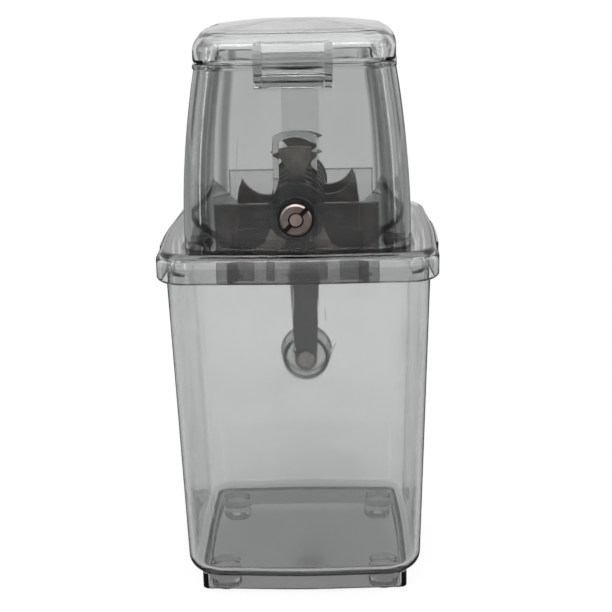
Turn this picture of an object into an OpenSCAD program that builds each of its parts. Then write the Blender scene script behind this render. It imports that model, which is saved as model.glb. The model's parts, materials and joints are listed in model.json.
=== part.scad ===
// Hand-cranked ice crusher: a clear hopper with a clawed rotor stands on a clear ice bin.
// The lid's hinge is on the -Y side and the crank hangs on the +Y side.

/* [Feet and skirt] */
// Radius of each foot
foot_r = 6.9; // [5:0.1:9]
// Height of the bin floor above the table, which is also the height of a foot
foot_h = 10.8; // [9:0.2:14]
// Gap between a foot and the inside of the skirt
foot_room = 1.2; // [0.6:0.1:8]
// How far each side of the skirt stands in from the bin's side
skirt_inset = 6.6; // [5.4:0.1:7.4]
// Plan radius of the skirt's corners
skirt_corner = 3; // [2.6:0.1:8]
// Wall of the skirt
skirt_t = 2.4; // [1.6:0.1:2.8]
// Gap between the skirt and the table
skirt_gap = 2.9; // [1.5:0.1:4]

/* [Ice bin] */
// Height of the bin from the underside of its floor to its rim
bin_h = 152; // [120:1:180]
// How far each side of the bin stands in from the collar's side, below the rim
bin_inset = 3.1; // [2.7:0.1:4]
// How much each side of the bin leans in from its rim to its bottom fillet
bin_draft = 3.7; // [1:0.1:5]
// Wall of the bin
bin_wall = 2.2; // [1.6:0.1:2.8]
// Thickness of the bin floor
floor_t = 2.6; // [2:0.1:4]
// Radius of the bottom fillet
bin_fillet = 7; // [5:0.5:8]
// Plan radius of the bin's corners
bin_corner = 17; // [13:0.5:20]
// Height of the thick rim
rim_h = 6; // [4:0.5:8]

/* [Collar] */
// How far the collar's deck reaches out beside the hopper
deck_ledge = 11.5; // [10.5:0.1:14]
// How far the collar's deck reaches out at the hopper's ends
end_ledge = 9.1; // [8.5:0.1:14]
// Height of the collar's outer band
collar_h = 12.6; // [10:0.2:16]
// Wall of the collar's band
collar_wall = 2; // [1.6:0.1:2.4]
// Thickness of the collar's deck
deck_t = 2.6; // [2.2:0.1:3.6]
// Plan radius of the collar's corners
collar_corner = 13; // [11:0.5:18]
// Thickness of the locating tabs that drop into the bin's mouth
tab_t = 1.6; // [1.2:0.1:1.9]
// How far the locating tabs reach below the deck
tab_h = 8.6; // [6:0.2:9.6]
// Gap between the locating tabs and the bin's wall
tab_gap = 0.4; // [0.3:0.1:0.8]
// Length of the raised grip pad on each side
pad_len = 46; // [30:1:60]
// How far a grip pad stands proud
pad_proud = 0.8; // [0.4:0.1:1.2]

/* [Hopper] */
// Height of the hopper from the collar's deck to its mouth
hopper_h = 77.4; // [70:0.2:95]
// Width of the hopper on the deck
hopper_base_w = 98.8; // [96:0.2:106]
// How far each side of the hopper leans in from the deck to its mouth
hopper_lean = 6.9; // [5:0.1:8]
// How far each end of the hopper leans in from the deck to its mouth
hopper_end_lean = 8.9; // [6:0.1:10]
// Wall of the hopper
hopper_wall = 2.4; // [1.8:0.1:2.8]
// Plan radius of the hopper's corners at the deck
hopper_corner = 14; // [12:0.5:16]
// Plan radius of the hopper's corners at its mouth
mouth_corner = 11; // [9:0.5:13]
// Thickness of the flange round the mouth
mouth_flange_t = 2.4; // [1.6:0.2:3]
// How far the mouth flange stands out
mouth_flange_out = 0.9; // [0.5:0.1:1.6]
// Width of the bearing columns on the front and rear walls
column_w = 18.4; // [18:0.2:22]
// Height of the front column above the deck
front_column_h = 50.8; // [32:0.2:54]
// Outward bow of the middle of every side wall
side_bow = 1.4; // [0.2:0.1:2]

/* [Lid] */
// Height of the lid from the mouth to its top
lid_h = 16.5; // [14:0.1:22]
// Wall of the lid
lid_wall = 2.2; // [1.6:0.1:2.8]
// Radius of the lid's shoulder
lid_shoulder = 8.5; // [6:0.5:10]
// Height of the locating lip that drops into the mouth
lip_h = 2; // [1:0.2:3]

/* [Hinge] */
// Radius of the hinge knuckle
knuckle_r = 4.6; // [3.8:0.1:5]
// Width of the knuckle on the hopper
knuckle_w = 25; // [18:0.5:32]
// Thickness of each hinge ear on the lid
ear_t = 3.4; // [2.4:0.1:4.5]
// Radius of the hinge pin
hinge_pin_r = 1.5; // [1:0.1:2]
// Wall of the hood over the knuckle
hood_t = 1.8; // [1.4:0.1:2.4]

/* [Crushing chamber] */
// Width of the chamber's end walls
chamber_w = 70.6; // [68:0.2:73]
// Room between each end of the chamber and the hopper's end wall
chamber_room = 5.9; // [4.4:0.1:8]
// Wall of the chamber
chamber_wall = 2.5; // [2:0.1:3]
// Height of the chamber's end walls above the deck
chamber_up = 18.9; // [15:0.2:24]
// How far the chamber reaches below the deck
chamber_down = 12; // [11:0.2:16]
// Thickness of the chamber's clamping flange
flange_t = 2.4; // [1.8:0.2:3.2]
// Height above the deck at which the wings leave the channel's walls
wing_root = 0.8; // [0.4:0.2:3]
// Steepness of the wings in degrees
wing_slope = 41; // [38:1:50]
// Running gap between the claws and the channel
claw_gap = 1.3; // [0.8:0.1:2]

/* [Fixed combs] */
// Thickness of each comb tooth
tooth_t = 2.4; // [1.6:0.1:3]
// Thickness of a comb's back strip
strip_t = 2; // [1.6:0.1:2.4]
// Gap between a tooth's tip and a spacer
tooth_gap = 1.6; // [1:0.1:2.4]
// How far a tooth's tip lies below the shaft's axis
tooth_drop = 3.5; // [3:0.1:4.4]
// Height of a tooth at its root
tooth_h = 13; // [11:0.5:15]
// Gap along the shaft between an end tooth and the end disc
tooth_room = 1; // [0.6:0.1:2]

/* [Rotor] */
// Radius swept by the claws
claw_r = 27; // [25:0.2:28]
// Half angle between a claw's tips
claw_angle = 24.5; // [18:0.5:28]
// Narrowest half width of a claw's neck
claw_neck = 3.7; // [3.2:0.1:4.5]
// Radius at which the neck is narrowest
neck_r = 13.5; // [11:0.5:15]
// Radius of a claw's hub
hub_r = 12.4; // [11:0.1:13.4]
// Thickness of each claw
claw_t = 2.6; // [2:0.1:3.4]
// Distance from one claw to the next along the shaft
claw_pitch = 12; // [10.4:0.1:13.4]
// Radius of a spacer at its ends
spacer_r = 8; // [7:0.1:8.6]
// Radius of a spacer at its waist
waist_r = 6.6; // [6.3:0.1:7]
// Radius of the dark end discs
end_disc_r = 13; // [10:0.5:15]
// Thickness of each end disc
end_disc_t = 3; // [2:0.2:3.6]

/* [Shaft and bearings] */
// Height of the shaft's axis above the deck
shaft_rise = 14.4; // [14:0.1:17]
// Radius of the shaft's journals, and half the side of its square
journal_r = 4; // [3.6:0.1:4.3]
// Outside radius of each bearing bush
bush_r = 6; // [5.4:0.1:6.6]
// Radius of the bush flange
bush_flange_r = 8; // [7.2:0.1:8.6]
// Thickness of the bush flange
bush_flange_t = 1.7; // [1.2:0.1:2]
// Radius of the threaded front end
thread_r = 2.6; // [2.2:0.1:2.9]
// Radius of the slotted front nut
nut_r = 6.7; // [5.6:0.1:7.4]
// Thickness of the slotted front nut
nut_t = 2.8; // [2.2:0.1:3.4]
// Radius of the front washer
washer_r = 7.9; // [7.4:0.1:9]
// Thickness of the front washer
washer_t = 0.8; // [0.6:0.1:1.2]

/* [Crank] */
// Distance from the shaft's axis to the knob's axis
crank_len = 101.5; // [90:0.5:115]
// Radius of the crank arm's hub end
arm_hub_r = 9.6; // [8:0.1:11]
// Half width of the crank arm at the knob
arm_tip_r = 5.9; // [5:0.1:7]
// Thickness of the crank arm
arm_t = 3; // [2.4:0.1:4]
// How far the rib stands out from the arm
rib_t = 1.4; // [0.8:0.1:1.6]
// Gap between the collar and the crank arm
arm_gap = 3.2; // [2.4:0.1:5]
// Side of the square that drives the crank
drive_square = 5.6; // [5:0.1:6]
// Radius of the crank hub
crank_hub_r = 7; // [6:0.1:8.4]
// Width of the crank nut across its flats
crank_nut_w = 10; // [9:0.5:13]
// Radius of the knob where it meets the arm
knob_near_r = 12.3; // [11:0.1:13]
// Largest radius of the knob
knob_r = 13.9; // [13.2:0.1:16]
// Length of the knob
knob_len = 21; // [18:0.5:30]
// Wall of the knob
knob_wall = 2; // [1.6:0.1:2.6]
// Radius of the knob pin
knob_pin_r = 2.5; // [2:0.1:2.8]

/* [Fasteners] */
// Radius of the screws' shanks
screw_r = 1.5; // [1:0.1:1.7]
// Radius of the screws' heads
screw_head_r = 2.7; // [2.4:0.1:3]
// Height of the screws' heads
screw_head_h = 1.6; // [1.2:0.1:2]
// Length of a chamber screw below its head
screw_len = 6; // [4:0.5:6.5]

/* [Hidden] */
// Directions of the claws on each hub, so that neighbours never bite together
claw_ways = [[90], [0, 180], [270], [0], [90], [270]];
claw_count = len(claw_ways);

// Clearances
seat_gap = 0.3;      // between two seated bodies that come apart, or turn past each other
run_gap = 0.05;      // radial, for a shaft that turns in a bore
press_gap = 0.02;    // radial, for a piece pressed or bolted into its seat
sink = 1;            // how far a boss roots itself in the wall behind it

// Heights, from the table up
floor_z = foot_h;
rim_z = floor_z + bin_h;
deck_under_z = rim_z + seat_gap;
deck_z = deck_under_z + deck_t;
collar_z = deck_z - collar_h;
mouth_z = deck_z + hopper_h;
lid_z = mouth_z + seat_gap;
lid_top_z = mouth_z + lid_h;
shaft_z = deck_z + shaft_rise;
knob_z = shaft_z - crank_len;

// Places along the shaft, from the middle of the bin outwards; the two ends mirror each other
stack_end = claw_pitch * (claw_count - 1) / 2 + claw_t / 2;
disc_in = (claw_pitch * claw_count + tooth_t) / 2 + tooth_room;
disc_out = disc_in + end_disc_t;
chamber_inner = disc_out + seat_gap;
chamber_face = chamber_inner + chamber_wall;
boss_face = chamber_face + bush_flange_t + seat_gap;
hopper_half_y = chamber_face + chamber_room + hopper_wall;
column_proud = 1.2;
column_face = hopper_half_y + column_proud;
washer_in = column_face + seat_gap;
nut_in = washer_in + washer_t;
shaft_front = nut_in + nut_t - 0.3;

// Plan widths
hopper_top_w = hopper_base_w - 2 * hopper_lean;
mouth_w = hopper_top_w + 2 * mouth_flange_out;
collar_w = hopper_base_w + 2 * deck_ledge;
rim_w = collar_w - 2 * collar_wall - 1.2;
bin_top_w = collar_w - 2 * bin_inset;
bin_bottom_w = bin_top_w - 2 * bin_draft;
skirt_w = bin_bottom_w - 2 * skirt_inset;

// How much longer each plan is along the shaft than across it
hopper_longer = 2 * (hopper_half_y - side_bow) - hopper_base_w;
mouth_longer = hopper_longer - 2 * (hopper_end_lean - hopper_lean);
bin_longer = hopper_longer - 2 * (deck_ledge - end_ledge);
skirt_longer = bin_longer - 1.2;

// Plan sizes, half way along each side
collar_half_y = (collar_w + bin_longer) / 2 + side_bow;
mouth_half_y = (mouth_w + mouth_longer) / 2 + side_bow;
foot_x = skirt_w / 2 - skirt_t - foot_r - foot_room;
foot_y = foot_x + skirt_longer / 2;

// Places along the crank
arm_in = max(collar_half_y, column_face) + arm_gap;
arm_out = arm_in + arm_t;
knob_in = arm_out + seat_gap;
knob_out = knob_in + knob_len;
crank_nut_h = 5;
shaft_rear = arm_out + crank_nut_h - 1;
pin_head_r = 4.4;
pin_head_t = 1.6;
pin_recess = 3;

// The origin lies under the middle of the whole crusher, crank and knob included
body_y = -(knob_out - collar_half_y) / 2;

// Hinge, in front of the mouth flange
hinge_y = -(mouth_half_y + seat_gap + 0.1 + knuckle_r);
hinge_z = mouth_z - knuckle_r - 0.1;
ear_in = knuckle_w / 2 + seat_gap + 0.1;
ear_out = ear_in + ear_t;

// Crushing channel
channel_x = claw_r + claw_gap;
chamber_z = deck_under_z - chamber_down;
chamber_top = deck_z + chamber_up;
bend_z = deck_z + wing_root;
wing_x = hopper_base_w / 2 + 2;
wing_z = bend_z + (wing_x - channel_x) * tan(wing_slope);
boss_r = 3.4;
boss_room = 1.5;
boss_x = chamber_w / 2 + boss_room + boss_r;
boss_y = chamber_face - 6;
boss_top = deck_z + 4.2;

// Facet counts
corner_steps = 6;
side_steps = 4;
round_fn = 64;
fine_fn = 32;

// ---------- shapes that repeat ----------

function turned(p, a) = [p.x * cos(a) - p.y * sin(a), p.x * sin(a) + p.y * cos(a)];

// The +X side of a plan, bowed outwards, and the round corner that follows it
function plan_quarter(w, d, r) = concat(
    [for (i = [0:side_steps - 1]) let (t = -1 + 2 * i / side_steps)
        [w / 2 + side_bow * (1 - t * t), t * (d / 2 - r)]],
    [for (i = [0:corner_steps - 1]) let (a = 90 * i / corner_steps)
        [w / 2 - r + r * cos(a), d / 2 - r + r * sin(a)]]);

function plan(w, d, r) =
    [for (q = [0:3]) for (p = q % 2 == 0 ? plan_quarter(w, d, r) : plan_quarter(d, w, r)) turned(p, 90 * q)];

// A ring of a skin: its height, width, corner radius, and how much longer it is than wide
function ring(z, w, r, longer = 0) = [z, w, r, longer];

// Skins a list of rings; a loop joins the last ring to the first
module skin(rings, loop = false) {
    n = 4 * (side_steps + corner_steps);
    m = len(rings);
    points = [for (ring = rings) for (p = plan(ring[1], ring[1] + ring[3], ring[2])) [p.x, p.y, ring[0]]];
    bands = [for (i = [0:loop ? m - 1 : m - 2]) for (j = [0:n - 1])
        let (k = (i + 1) % m, l = (j + 1) % n)
        each [[i * n + j, k * n + j, k * n + l], [i * n + j, k * n + l, i * n + l]]];
    caps = loop ? [] : [[for (j = [0:n - 1]) j], [for (j = [n - 1:-1:0]) (m - 1) * n + j]];
    polyhedron(points = points, faces = concat(bands, caps), convexity = 6);
}

// Plan radius inside a wall whose outer plan radius is r
function inner_r(r, wall) = max(r - wall, 2);

// A flat plate with round corners and true arcs
module round_plate(w, d, r, h) {
    linear_extrude(height = h) union() {
        square([w - 2 * r, d], center = true);
        square([w, d - 2 * r], center = true);
        for (sx = [-1, 1], sy = [-1, 1])
            translate([sx * (w / 2 - r), sy * (d / 2 - r)]) circle(r = r, $fn = round_fn);
    }
}

// A cylinder along +Y from y0 to y1
module rod_y(r, y0, y1, fn = round_fn) {
    translate([0, y0, 0]) rotate([-90, 0, 0]) cylinder(r = r, h = y1 - y0, $fn = fn);
}

// A square bar along +Y from y0 to y1
module bar_y(side, y0, y1) {
    translate([-side / 2, y0, -side / 2]) cube([side, y1 - y0, side]);
}

// A cylinder along X, centred
module rod_x(r, l, fn = round_fn) {
    rotate([0, 90, 0]) cylinder(r = r, h = l, center = true, $fn = fn);
}

// Turns a profile of [radius, place along +Y] points round the Y axis
module turned_y(profile) {
    rotate([-90, 0, 0]) rotate_extrude($fn = round_fn) polygon(profile);
}

// Extrudes an outline drawn in X and Z along Y, from y0 to y1
module slab_y(y0, y1) {
    translate([0, y1, 0]) rotate([90, 0, 0]) linear_extrude(height = y1 - y0) children();
}

// Extrudes an outline drawn in Y and Z along X, from x0 to x1
module slab_x(x0, x1) {
    translate([x0, 0, 0]) rotate([90, 0, 90]) linear_extrude(height = x1 - x0) children();
}

module at_bin() { translate([0, body_y, 0]) children(); }
module at_shaft() { translate([0, body_y, shaft_z]) children(); }
module both_ends() { children(); mirror([0, 1, 0]) children(); }
module at_bosses(z) {
    for (sx = [-1, 1], sy = [-1, 1]) translate([sx * boss_x, sy * boss_y, z]) children();
}

// Colours
smoke = [0.5, 0.52, 0.52, 0.5];
pale_smoke = [0.66, 0.68, 0.68, 0.45];
dark_smoke = [0.24, 0.23, 0.22, 0.9];
steel = [0.55, 0.53, 0.51];
black = [0.14, 0.14, 0.15];

// ---------- feet and bin ----------

peg_r = 2.4;
peg_h = 5;

module at_foot(sx, sy) {
    translate([sx * foot_x, sy * foot_y, 0]) children();
}

module foot(sx, sy) {
    edge = 1.2;
    color(pale_smoke) at_bin() at_foot(sx, sy) difference() {
        union() {
            cylinder(r1 = foot_r - edge, r2 = foot_r, h = edge, $fn = round_fn);
            translate([0, 0, edge]) cylinder(r = foot_r, h = floor_z - edge, $fn = round_fn);
        }
        translate([0, 0, floor_z - peg_h - seat_gap])
            cylinder(r = peg_r + press_gap, h = peg_h + 1, $fn = fine_fn);
    }
}

// Width of the bin at height z: drafted from the fillet up to the rim
function bin_w(z) =
    bin_bottom_w + (bin_top_w - bin_bottom_w) * (z - floor_z - bin_fillet) / (bin_h - bin_fillet - rim_h);

module ice_bin() {
    steps = 4;
    wall_top = rim_z - rim_h;
    inner_floor = floor_z + floor_t;
    inner_fillet = bin_fillet - bin_wall + 0.6;
    inner_corner = inner_r(bin_corner, bin_wall);
    outer = concat(
        [for (i = [0:steps]) let (a = 90 * i / steps, in = bin_fillet * (1 - sin(a)))
            ring(floor_z + bin_fillet * (1 - cos(a)), bin_bottom_w - 2 * in, bin_corner - 0.8 * in, bin_longer)],
        [ring(wall_top - 2, bin_w(wall_top - 2), bin_corner, bin_longer),
         ring(wall_top, rim_w - 1, bin_corner + 1, bin_longer),
         ring(wall_top + 0.8, rim_w, bin_corner + 1, bin_longer),
         ring(rim_z - 0.8, rim_w, bin_corner + 1, bin_longer),
         ring(rim_z, rim_w - 1.2, bin_corner + 0.6, bin_longer)]);
    inner = concat(
        [ring(rim_z, bin_top_w - 2 * bin_wall, inner_corner, bin_longer)],
        [for (i = [steps:-1:0]) let (a = 90 * i / steps, in = inner_fillet * (1 - sin(a)))
            ring(inner_floor + inner_fillet * (1 - cos(a)), bin_bottom_w - 2 * bin_wall - 2 * in,
                 inner_corner - 0.8 * in, bin_longer)]);
    color(pale_smoke) at_bin() union() {
        skin(concat(outer, inner));
        bin_skirt();
        for (sx = [-1, 1], sy = [-1, 1]) at_foot(sx, sy)
            translate([0, 0, floor_z - peg_h]) cylinder(r = peg_r, h = peg_h + floor_t / 2, $fn = fine_fn);
    }
}

// The band under the floor that hides the feet
module bin_skirt() {
    top = floor_z + floor_t / 2;
    inside_w = skirt_w - 2 * skirt_t;
    skin([ring(skirt_gap, skirt_w, skirt_corner, skirt_longer),
          ring(top, skirt_w, skirt_corner, skirt_longer),
          ring(top, inside_w, inner_r(skirt_corner, skirt_t), skirt_longer),
          ring(skirt_gap, inside_w, inner_r(skirt_corner, skirt_t), skirt_longer)], loop = true);
}

// ---------- collar ----------

// How far the middle of a grip pad's side stands out at a place y along it
function collar_side(y) =
    collar_w / 2 + side_bow * (1 - pow(y / ((collar_w + bin_longer) / 2 - collar_corner), 2));

module grip_pad() {
    margin = 2.6;
    ys = [for (i = [-4:4]) pad_len / 2 * i / 4];
    face = [for (y = ys) [collar_side(y) + (abs(y) < pad_len / 2 ? pad_proud : 0), y]];
    root = [for (i = [len(ys) - 1:-1:0]) [collar_side(ys[i]) - sink, ys[i]]];
    translate([0, 0, collar_z + margin])
        linear_extrude(height = collar_h - 2 * margin - 1) polygon(concat(face, root));
}

module collar() {
    inner_w = collar_w - 2 * collar_wall;
    inner_corner = inner_r(collar_corner, collar_wall);
    opening_w = hopper_base_w - 2 * hopper_wall;
    opening_r = inner_r(hopper_corner, hopper_wall);
    crown = 0.3;
    color(smoke) at_bin() union() {
        skin([ring(collar_z, collar_w - 2.2, collar_corner, bin_longer),
              ring(collar_z + 0.5, collar_w - 0.9, collar_corner, bin_longer),
              ring(collar_z + 1.4, collar_w, collar_corner, bin_longer),
              ring(deck_z - 2.4, collar_w, collar_corner, bin_longer),
              ring(deck_z - 1, collar_w - 0.8, collar_corner, bin_longer),
              ring(deck_z - crown, collar_w - 2.8, collar_corner - 1, bin_longer),
              ring(deck_z, hopper_base_w + 4, hopper_corner + 2, hopper_longer),
              ring(deck_z, opening_w, opening_r, hopper_longer),
              ring(deck_under_z, opening_w, opening_r, hopper_longer),
              ring(deck_under_z, inner_w, inner_corner, bin_longer),
              ring(collar_z, inner_w, inner_corner, bin_longer)], loop = true);
        for (turn = [0, 180]) rotate(turn) grip_pad();
        for (turn = [0:3]) rotate(90 * turn)
            locating_tabs((bin_top_w + (turn % 2 == 0 ? 0 : bin_longer)) / 2 - bin_wall - tab_gap);
    }
}

// Tabs along the +X side that keep the collar centred in the bin's mouth; x is their outer face
module locating_tabs(x) {
    for (place = [[-28, -18], [-13, -9.4], [9.4, 13], [18, 28]])
        translate([x - tab_t, place[0], deck_under_z - tab_h])
            cube([tab_t, place[1] - place[0], tab_h + deck_t / 2]);
}

// ---------- hopper ----------

// Share of the hopper's taper at height z: upright at the deck, leaning in towards the mouth
function lean(z) = pow((z - deck_z) / hopper_h, 2);
function hopper_w(z) = hopper_base_w + (hopper_top_w - hopper_base_w) * lean(z);
function hopper_extra(z) = hopper_longer + (mouth_longer - hopper_longer) * lean(z);
function hopper_r(z) = hopper_corner + (mouth_corner - hopper_corner) * (z - deck_z) / hopper_h;
function hopper_side_y(z) = (hopper_w(z) + hopper_extra(z)) / 2 + side_bow;

module hopper_shell() {
    steps = 7;
    flange_z = mouth_z - mouth_flange_t;
    heights = [for (i = [0:steps]) deck_z + (flange_z - deck_z) * i / steps];
    inside_r = inner_r(mouth_corner, hopper_wall);
    outer = [for (z = heights) ring(z, hopper_w(z), hopper_r(z), hopper_extra(z))];
    flange = [ring(flange_z + 0.5, mouth_w, mouth_corner, mouth_longer),
              ring(mouth_z - 0.5, mouth_w, mouth_corner, mouth_longer),
              ring(mouth_z, mouth_w - 1, mouth_corner, mouth_longer),
              ring(mouth_z, hopper_top_w - 2 * hopper_wall, inside_r, mouth_longer)];
    inner = [for (i = [steps:-1:0]) let (z = heights[i])
        ring(z, hopper_w(z) - 2 * hopper_wall, inner_r(hopper_r(z), hopper_wall), hopper_extra(z))];
    skin(concat(outer, flange, inner), loop = true);
}

// A raised band on the rear wall that follows the wall's curve
module rear_column() {
    steps = 6;
    proud = 0.9;
    top = mouth_z - mouth_flange_t;
    heights = [for (i = [0:steps]) deck_z + (top - deck_z) * i / steps];
    face = [for (z = heights) [hopper_side_y(z) + proud, z]];
    root = [for (i = [steps:-1:0]) [hopper_side_y(heights[i]) - sink, heights[i]]];
    slab_x(-column_w / 2, column_w / 2) polygon(concat(face, root));
}

// The upright bearing column on the front wall, with a low arch at its top; inset shrinks it all round
module front_column(inset = 0) {
    half = column_w / 2 - inset;
    face = column_face - inset;
    top = deck_z + front_column_h - inset;
    back = sink + 2 * inset;
    rise = 2.2;
    arch_r = (half * half + rise * rise) / (2 * rise);
    steps = 5;
    root = [for (i = [steps:-1:0]) let (z = deck_z + (top - deck_z) * i / steps) [-hopper_side_y(z) + back, z]];
    intersection() {
        slab_x(-half, half) polygon(concat([[-face, deck_z], [-face, top]], root));
        slab_y(-face - 1, 0) intersection() {
            translate([0, top - arch_r]) circle(r = arch_r, $fn = 128);
            translate([-column_w, deck_z]) square([2 * column_w, front_column_h + 1]);
        }
    }
}

module hinge_knuckle() {
    web_h = 6;
    translate([0, hinge_y, hinge_z]) {
        rod_x(knuckle_r, knuckle_w);
        translate([-knuckle_w / 2, 0, -web_h / 2]) cube([knuckle_w, knuckle_r + seat_gap + sink, web_h]);
    }
}

// Four bosses stand in the corners, each held to its side wall by a rib
module screw_bosses() {
    rib = 2;
    reach = hopper_w(boss_top) / 2 - hopper_wall + sink;
    at_bosses(deck_under_z) cylinder(r = boss_r, h = boss_top - deck_under_z, $fn = fine_fn);
    for (sx = [-1, 1], sy = [-1, 1])
        translate([sx > 0 ? boss_x : -reach, sy * boss_y - rib / 2, deck_z])
            cube([reach - boss_x, rib, boss_top - deck_z]);
}

module hopper() {
    color(smoke) at_bin() difference() {
        union() {
            difference() {
                union() {
                    hopper_shell();
                    front_column();
                }
                front_column(hopper_wall);
            }
            rear_column();
            both_ends() translate([0, 0, shaft_z]) rod_y(column_w / 2, boss_face, column_face);
            hinge_knuckle();
            screw_bosses();
        }
        translate([0, 0, shaft_z]) both_ends() rod_y(bush_r + press_gap, boss_face - 1, column_face + 1);
        translate([0, hinge_y, hinge_z]) rod_x(hinge_pin_r + run_gap, knuckle_w + 2, fine_fn);
        at_bosses(deck_under_z - 1) cylinder(r = screw_r + press_gap, h = screw_len + 1, $fn = fine_fn);
    }
}

// ---------- lid ----------

module lid_shell() {
    steps = 5;
    dome_steps = 4;
    sweep = 70;
    dome_h = 3.4;
    small = 0.1;
    wall_z = lid_top_z - dome_h - lid_shoulder * sin(sweep);
    lid_w = mouth_w - 0.6;
    lip_w = hopper_top_w - 2 * hopper_wall - 2.4;
    lip_t = 1.6;

    // Corners, shoulder and dome of the lid, outside or inset by a wall
    function edge_r(w) = mouth_corner * w / lid_w;
    function shoulder(inset) = [for (i = [0:steps])
        let (a = sweep * i / steps, r = lid_shoulder - inset, w = lid_w - 2 * inset - 2 * r * (1 - cos(a)))
        ring(wall_z + r * sin(a), w, edge_r(w), mouth_longer)];
    function dome(inset) = let (r = lid_shoulder - inset, w0 = lid_w - 2 * inset - 2 * r * (1 - cos(sweep)))
        [for (i = [1:dome_steps]) let (s = 1 - (1 - small) * i / dome_steps)
            ring(wall_z + r * sin(sweep) + dome_h * (1 - s * s) / (1 - small * small), w0 * s,
                 edge_r(w0 * s), mouth_longer * s)];
    function backwards(rings) = [for (i = [len(rings) - 1:-1:0]) rings[i]];

    skin(concat(
        backwards(dome(lid_wall)),
        backwards(shoulder(lid_wall)),
        [ring(lid_z + lip_t, lid_w - 2 * lid_wall, mouth_corner - lid_wall, mouth_longer),
         ring(lid_z + lip_t, lip_w - 2 * lip_t, mouth_corner - 4, mouth_longer),
         ring(mouth_z - lip_h, lip_w - 2 * lip_t, mouth_corner - 4, mouth_longer),
         ring(mouth_z - lip_h, lip_w, mouth_corner - 3, mouth_longer),
         ring(lid_z, lip_w, mouth_corner - 3, mouth_longer),
         ring(lid_z, lid_w, mouth_corner, mouth_longer)],
        shoulder(0),
        dome(0)));
}

// Side view of an ear: a round eye on the pin and a cheek that runs up into the lid
module ear_outline() {
    back = -mouth_half_y + sink;
    translate([hinge_y, hinge_z]) circle(r = knuckle_r, $fn = round_fn);
    polygon([[hinge_y - knuckle_r, hinge_z], [hinge_y - knuckle_r + 0.8, lid_z + 5],
             [hinge_y - 1.5, lid_z + 8], [back, lid_z + 8.4], [back, lid_z],
             [hinge_y + knuckle_r, lid_z], [hinge_y + knuckle_r, hinge_z]]);
}

// Side view of the hood: a bevel from the lid's front and a short upright face
module hood_outline() {
    front = hinge_y - knuckle_r + 1.2;
    back = -mouth_half_y + sink;
    low = lid_z + 0.4;
    polygon([[back, lid_z + 9.2], [hinge_y + 1.2, lid_z + 9.2], [front, lid_z + 5.4], [front, low],
             [front + hood_t, low], [front + hood_t, lid_z + 4.6], [hinge_y + 1.8, lid_z + 7.2],
             [back, lid_z + 7.2]]);
}

module lid() {
    color(smoke) at_bin() difference() {
        union() {
            lid_shell();
            slab_x(ear_in, ear_out) ear_outline();
            slab_x(-ear_out, -ear_in) ear_outline();
            slab_x(-ear_in - ear_t / 2, ear_in + ear_t / 2) hood_outline();
        }
        translate([0, hinge_y, hinge_z]) rod_x(hinge_pin_r + press_gap, 2 * ear_out + 2, fine_fn);
    }
}

module hinge_pin() {
    color(steel) at_bin() translate([0, hinge_y, hinge_z]) rod_x(hinge_pin_r, 2 * ear_out - 0.6, fine_fn);
}

// ---------- crushing chamber ----------

// Outline of the channel's +X wall: a sloping wing above and an upright wall below
module channel_outline() {
    out = chamber_wall;
    bend_out = bend_z - out * (1 - cos(wing_slope)) / sin(wing_slope);
    polygon([[wing_x, wing_z], [channel_x, bend_z], [channel_x, chamber_z], [channel_x + out, chamber_z],
             [channel_x + out, bend_out], [wing_x + out * sin(wing_slope), wing_z - out * cos(wing_slope)]]);
}

module crush_chamber() {
    flange_w = hopper_base_w + 3;
    well_w = hopper_w(wing_z) - 2 * hopper_wall - 1;
    well_longer = hopper_extra(wing_z);
    frame_w = 3;
    panel = 0.8;
    well_r = inner_r(hopper_corner, hopper_wall);
    flange_z = deck_under_z - flange_t;
    color(dark_smoke) at_bin() difference() {
        union() {
            intersection() {
                union() {
                    slab_y(-chamber_face, chamber_face) channel_outline();
                    mirror([1, 0, 0]) slab_y(-chamber_face, chamber_face) channel_outline();
                }
                translate([0, 0, chamber_z - 1])
                    round_plate(well_w, well_w + well_longer, well_r, wing_z - chamber_z + 2);
            }
            both_ends() difference() {
                translate([-chamber_w / 2, chamber_inner, chamber_z])
                    cube([chamber_w, chamber_wall, chamber_top - chamber_z]);
                difference() {
                    translate([-chamber_w / 2 + frame_w, chamber_face - panel, deck_z + frame_w])
                        cube([chamber_w - 2 * frame_w, 2, chamber_top - deck_z - 2 * frame_w]);
                    translate([0, 0, shaft_z]) rod_y(bush_flange_r + 1, chamber_inner, chamber_face + 1);
                }
            }
            difference() {
                translate([0, 0, flange_z])
                    round_plate(flange_w, flange_w + hopper_longer, hopper_corner, flange_t);
                translate([-channel_x - 1, -chamber_inner - 1, flange_z - 1])
                    cube([2 * channel_x + 2, 2 * chamber_inner + 2, flange_t + 2]);
            }
        }
        translate([0, 0, shaft_z]) both_ends() rod_y(bush_r + press_gap, chamber_inner - 1, chamber_face + 1);
        at_bosses(flange_z - 1) cylinder(r = screw_r + press_gap, h = flange_t + 2, $fn = fine_fn);
        at_comb_screws(channel_x - 1) cylinder(r = screw_r + press_gap, h = chamber_wall + 2, $fn = fine_fn);
    }
}

// Places its children at the comb screws, pointing outwards along X from x
comb_screw_y = [-2 * claw_pitch, 2 * claw_pitch];
comb_screw_z = chamber_z + 5;
module at_comb_screws(x, sides = [-1, 1]) {
    for (s = sides, y = comb_screw_y)
        translate([s * x, y, comb_screw_z]) rotate([0, s * 90, 0]) children();
}

// Side view of the +X comb's tooth: a hook that reaches in towards the shaft
module tooth_outline() {
    tip = spacer_r + tooth_gap;
    root_x = channel_x - strip_t / 2;
    polygon([[tip, shaft_z - tooth_drop], [tip + 6, shaft_z - 2 * tooth_drop], [root_x, strip_top_z],
             [root_x, strip_top_z - tooth_h], [tip + 5, shaft_z - 4 * tooth_drop]]);
}

strip_top_z = shaft_z - sqrt(pow(claw_r + 0.6, 2) - pow(channel_x - strip_t, 2));

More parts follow.
